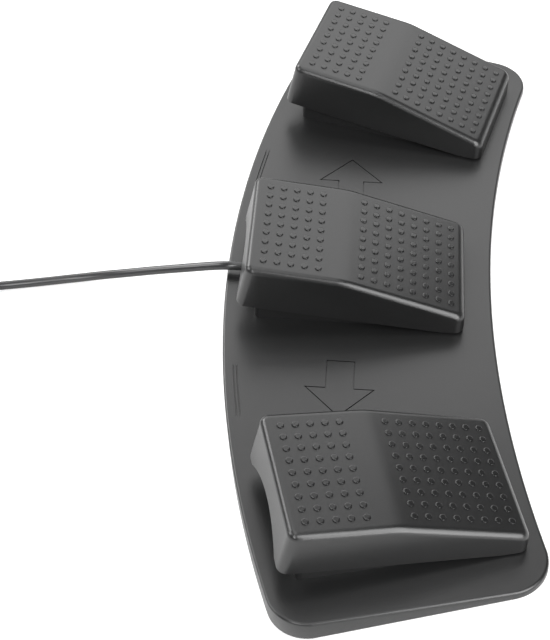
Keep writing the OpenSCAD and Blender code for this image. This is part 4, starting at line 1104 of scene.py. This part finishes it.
# %% [markdown]
# The plug is a moulded grip with ribs for the fingers, a shell folded from sheet metal, and an insulating tongue with
# its contacts. The grip is one stack of rectangles with round corners, which grow, shrink and soften along its length.
# The shell is two such tubes, one in the other. Its windows could be cut with a Boolean modifier, but leaving out two
# quads of the grid and walling their edges gives cleaner faces.

# %% Grip of the plug
BOOT_L, GRIP_L, GRIP_W, GRIP_T, GRIP_R = 8.0, 24.0, 16.0, 7.6, 2.4
BOOT_RADII = ((0, 2.4), (0.2, 2.6), (2.5, 2.72), (5, 2.95), (7.4, 3.3), (BOOT_L, 3.4))
SHOULDER_W, SHOULDER_T, FRONT_EDGE = 3.2, 0.4, 0.5
FRONT_ROUND = ((0.07, 0.25), (0.25, 0.07), (FRONT_EDGE, 0))
RIDGES_AT, RIDGES_REACH, RIDGE_PITCH, RIDGE_DEEP, RIDGE_STEEP, RIDGE_BIAS = 21, 6, 3, 0.35, 2.4, 1.2


def at_plug(points, forward=0.0):
    """Plug frame to part frame: u across, v up, w out of the cable along -X."""
    u, v, w = np.moveaxis(np.asarray(points, float), -1, 0)
    return np.stack([plug_start[0] - forward - w, plug_start[1] + u, plug_start[2] + v], -1)


def section(half_w, half_t, radius, w):
    """A rectangle with round corners across the plug, at a place along it."""
    ring = round_rectangle((-half_w, -half_t), (half_w, half_t), radius, 8)
    return np.column_stack([ring, np.full(len(ring), w)])


def grip_shape():
    """Round boot, a shoulder that swells to the flat grip, four grooves across it, and a softly broken front edge."""
    boot = [section(r, r, r - 1e-4, w) for w, r in BOOT_RADII]
    turn = np.radians(np.arange(15, 91, 15))
    shoulder = [
        section(GRIP_W / 2 - SHOULDER_W * b, GRIP_T / 2 - SHOULDER_T * b, GRIP_R, BOOT_L + GRIP_R * c)
        for b, c in zip(1 - np.sin(turn), 1 - np.cos(turn))
    ]
    w = np.linspace(BOOT_L + GRIP_R, BOOT_L + GRIP_L - FRONT_EDGE, 81)[1:]
    wave = RIDGE_STEEP * np.cos((w - RIDGES_AT) * 2 * np.pi / RIDGE_PITCH) - RIDGE_BIAS
    groove = RIDGE_DEEP * np.clip(wave, 0, 1) * (np.abs(w - RIDGES_AT) < RIDGES_REACH)
    body = [section(GRIP_W / 2 - g, GRIP_T / 2 - g, GRIP_R - g / 2, x) for x, g in zip(w, groove)]
    front = [
        section(GRIP_W / 2 - d, GRIP_T / 2 - d, GRIP_R - d, BOOT_L + GRIP_L - e)
        for d, e in FRONT_ROUND
    ]
    points, faces = loft([*boot, *shoulder, *body, *front])
    return outwards(at_plug(points), faces)


grip = grip_shape()
print("faces of the grip:", len(grip[1]))

# %% Shell of the plug
SHELL_W, SHELL_T, SHELL_L, SHELL_WALL, SHELL_R = 12.0, 4.5, 12.0, 0.3, 0.7
WINDOW, FOLD_STEPS = 2.4, 4


def shell_shape():
    """A folded tube of sheet metal: two grids, outer and inner, joined at both ends and round the two windows."""
    across = np.array([side * SHELL_W / 4 + edge * WINDOW / 2 for side in (-1, 1) for edge in (-1, 1)])
    w = np.array([0, SHELL_L / 2 - WINDOW / 2, SHELL_L / 2 + WINDOW / 2, SHELL_L])
    first = FOLD_STEPS + 1
    grids = []
    for inset in (0.0, SHELL_WALL):
        half_w, half_t, r = SHELL_W / 2 - inset, SHELL_T / 2 - inset, SHELL_R - inset
        ring = round_rectangle((-half_w, -half_t), (half_w, half_t), r, FOLD_STEPS)
        top = np.column_stack([across[::-1], np.full(len(across), half_t)])
        ring = np.concatenate([ring[:first], top, ring[first:]])
        grids.append(np.stack([np.column_stack([ring, np.full(len(ring), x)]) for x in w]))
    m, n = grids[0].shape[:2]
    inner = m * n
    quads = grid_quads(m, n, ring=True)
    row, column = np.divmod(np.arange(len(quads)), n)
    window = (row == 1) & ((column == first) | (column == first + 2))
    faces = quads[~window].tolist() + (quads[~window][:, ::-1] + inner).tolist()
    for a, b, c, d in quads[window].tolist():
        faces += [[p, q, q + inner, p + inner] for p, q in ((a, b), (b, c), (c, d), (d, a))]
    here, after = np.arange(n), (np.arange(n) + 1) % n
    for start in (0, (m - 1) * n):
        faces += (start + np.stack([here, after, inner + after, inner + here], -1)).tolist()
    return at_plug(np.concatenate([g.reshape(-1, 3) for g in grids]), BOOT_L + GRIP_L), faces


folded = shell_shape()
print("faces of the plug's shell:", len(folded[1]))

# %% Tongue and contacts, and the plug's pieces
TONGUE_T, TONGUE_IN, SEAT = 1.9, 0.6, 0.03
CONTACT_HALF, CONTACT_LOW, CONTACT_HIGH, CONTACT_IN = 0.5, 0.05, 0.06, 0.8
CONTACTS = ((-3.5, 8.2), (-1.0, 7.2), (1.0, 7.2), (3.5, 8.2))
tongue_low, tongue_half = -SHELL_T / 2 + SHELL_WALL + SEAT, SHELL_W / 2 - SHELL_WALL - SEAT
tongue_top, tongue_end = tongue_low + TONGUE_T, SHELL_L - TONGUE_IN
contact_end = tongue_end - CONTACT_IN
tongue_box = block((-tongue_half, tongue_low, 0), (tongue_half, tongue_top, tongue_end))
contact_boxes = [
    block(
        (x - CONTACT_HALF, tongue_top - CONTACT_LOW, contact_end - length),
        (x + CONTACT_HALF, tongue_top + CONTACT_HIGH, contact_end),
    )
    for x, length in CONTACTS
]
tongue, *contacts = (outwards(at_plug(p, BOOT_L + GRIP_L), f) for p, f in (tongue_box, *contact_boxes))
plug_pieces = [
    make_piece("plug_handle", grip, "base", plug_rubber, ["plug_grip"]),
    make_piece("plug_sheet", folded, "base", nickel, ["plug_shell"], recalc=True),
    make_piece("plug_insulator", tongue, "base", socket_ivory, ["plug_tongue"]),
    make_piece("plug_contacts", joined(contacts), "base", gilding),
]
print("plug pieces:", len(plug_pieces))

# %% The cable's facts
print("cable leaves at", route[0].round(2))

# %% [markdown]
# ## What stays as the solids give it
# Housings, pins, switches and the board are exact solids already, and most of them are out of sight. They could be
# drawn again as the covers were, but little would be gained, so they keep their shape and get their finish.

# %% Finishes of the hidden pieces
wear(housing_plastic, *each("housing"))
wear(plate_plastic, "bottom_plate")
wear(zinc_steel, "housing_screws", "switch_screws", "board_screws", *each("hinge_pin"))
wear(switch_case, *each("switch_body"))
wear(plunger_red, *each("switch_plunger"))
wear(board_green, "controller_board")
wear(chip_black, "controller_chip")
wear(socket_ivory, "wire_sockets")
print("dressed solids:", sum(not o.hide_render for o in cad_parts.values()))

# %% [markdown]
# ## Floor and light
# The photograph is a studio picture on white. Dark plastic shows mostly what it mirrors, and each kind of surface
# mirrors another part of the room: the decks a wide dim bank behind the object, the rounded edges towards the viewer
# a large box at the viewer's right and a narrow strip at their left, the walls under them a low card, and the toe
# edges and the cable a box far behind at the left. One more box at the left and one above give the slopes their
# shine. Paper and sky are whiter to the camera than to the plastic, and the paper glows more with each metre away
# from the object, so that it stays white where the lamps don't reach and keeps the shadow where they do.

# %% Floor
FLOOR_HALF, FLOOR_DOWN, PAPER, GLOW, MIRRORED = 4.0, 0.0002, 0.65, 0.5, 0.15
floor_mesh = bpy.data.meshes.new("floor")
floor_mesh.from_pydata(
    [(x * FLOOR_HALF, y * FLOOR_HALF, 0) for x, y in ((-1, -1), (1, -1), (1, 1), (-1, 1))], [], [(0, 1, 2, 3)]
)
floor = bpy.data.objects.new("floor", floor_mesh)
floor.location.z = -FLOOR_DOWN
scene.collection.objects.link(floor)
print("floor:", 2 * FLOOR_HALF, "m wide")


# %% Paper
def path_level(tree, seen, mirrored):
    """A level for rays from the camera, another for rays from mirroring surfaces, and zero for all the others."""
    path = tree.nodes.new("ShaderNodeLightPath").outputs
    direct = math_node(tree, "MULTIPLY", path["Is Camera Ray"], seen)
    return math_node(tree, "MAXIMUM", direct, math_node(tree, "MULTIPLY", path["Is Glossy Ray"], mirrored))


def metres_away(tree):
    """The distance of a point of the paper from the frame's origin, the root of the sum of its squared coordinates."""
    spread = tree.nodes.new("ShaderNodeVectorMath")
    spread.operation = "LENGTH"
    tree.links.new(tree.nodes.new("ShaderNodeTexCoord").outputs["Object"], spread.inputs[0])
    return spread.outputs["Value"]


paper = bpy.data.materials.new("white_paper")
paper.use_nodes = True
paper_tree = paper.node_tree
paper_skin = paper_tree.nodes["Principled BSDF"].inputs
paper_skin["Base Color"].default_value = (PAPER, PAPER, PAPER, 1)
paper_skin["Roughness"].default_value = 0.9
paper_skin["Specular IOR Level"].default_value = 0.0
paper_skin["Emission Color"].default_value = (1, 1, 1, 1)
white = math_node(paper_tree, "MINIMUM", math_node(paper_tree, "MAXIMUM", metres_away(paper_tree), GLOW), 1)
paper_tree.links.new(path_level(paper_tree, white, MIRRORED), paper_skin["Emission Strength"])
floor_mesh.materials.append(paper)
print("paper glows from", GLOW, "to 1")

# %% World and lamps
SKY = 0.13
world = bpy.data.worlds.new("studio")
scene.world = world
world.use_nodes = True
sky = world.node_tree
sky.nodes["Background"].inputs["Color"].default_value = (1, 1, 1, 1)
sky.links.new(math_node(sky, "MAXIMUM", path_level(sky, 1, SKY), SKY), sky.nodes["Background"].inputs["Strength"])


def softbox(name, place, aim, size, glare):
    """A rectangular lamp at a place in metres, facing a point; its power follows from its size and its glare, the
    light that each square metre sends straight out."""
    lamp = bpy.data.lights.new(name, "AREA")
    lamp.shape = "RECTANGLE"
    lamp.size, lamp.size_y = size
    lamp.energy = glare * math.pi * size[0] * size[1]
    holder = bpy.data.objects.new(name, lamp)
    back = np.array(place) - np.array(aim)
    back /= np.linalg.norm(back)
    side = np.cross([0, 0, 1], back)
    side /= np.linalg.norm(side)
    turn = np.eye(4)
    turn[:3, :3] = np.stack([side, np.cross(back, side), back], 1)
    turn[:3, 3] = place
    holder.matrix_world = Matrix(turn.tolist())
    scene.collection.objects.link(holder)


softbox("bank_behind", (0.47, 0.158, 0.42), (0, 0.158, 0.42), (0.984, 0.54), 2.05)
softbox("box_right", (-0.707, -0.814, 0.727), (0, 0, 0.02), (1.0, 1.1), 6.3)
softbox("strip_left", (-0.874, 0.267, 0.804), (0.129, -0.05, 0.04), (0.22, 0.9), 8)
softbox("box_left", (-0.131, 0.936, 0.739), (0, 0, 0.03), (0.6, 0.7), 5)
softbox("box_above", (0.25, -0.03, 1.3), (0.25, -0.01, 0.02), (1.2, 0.65), 2.2)
softbox("box_behind_left", (1.1, 1.3, 1.3), (0, 0, 0.03), (1.2, 0.9), 6)
softbox("card_low", (-0.783, -0.59, 0.13), (0, -0.05, 0.02), (0.6, 0.22), 6.5)
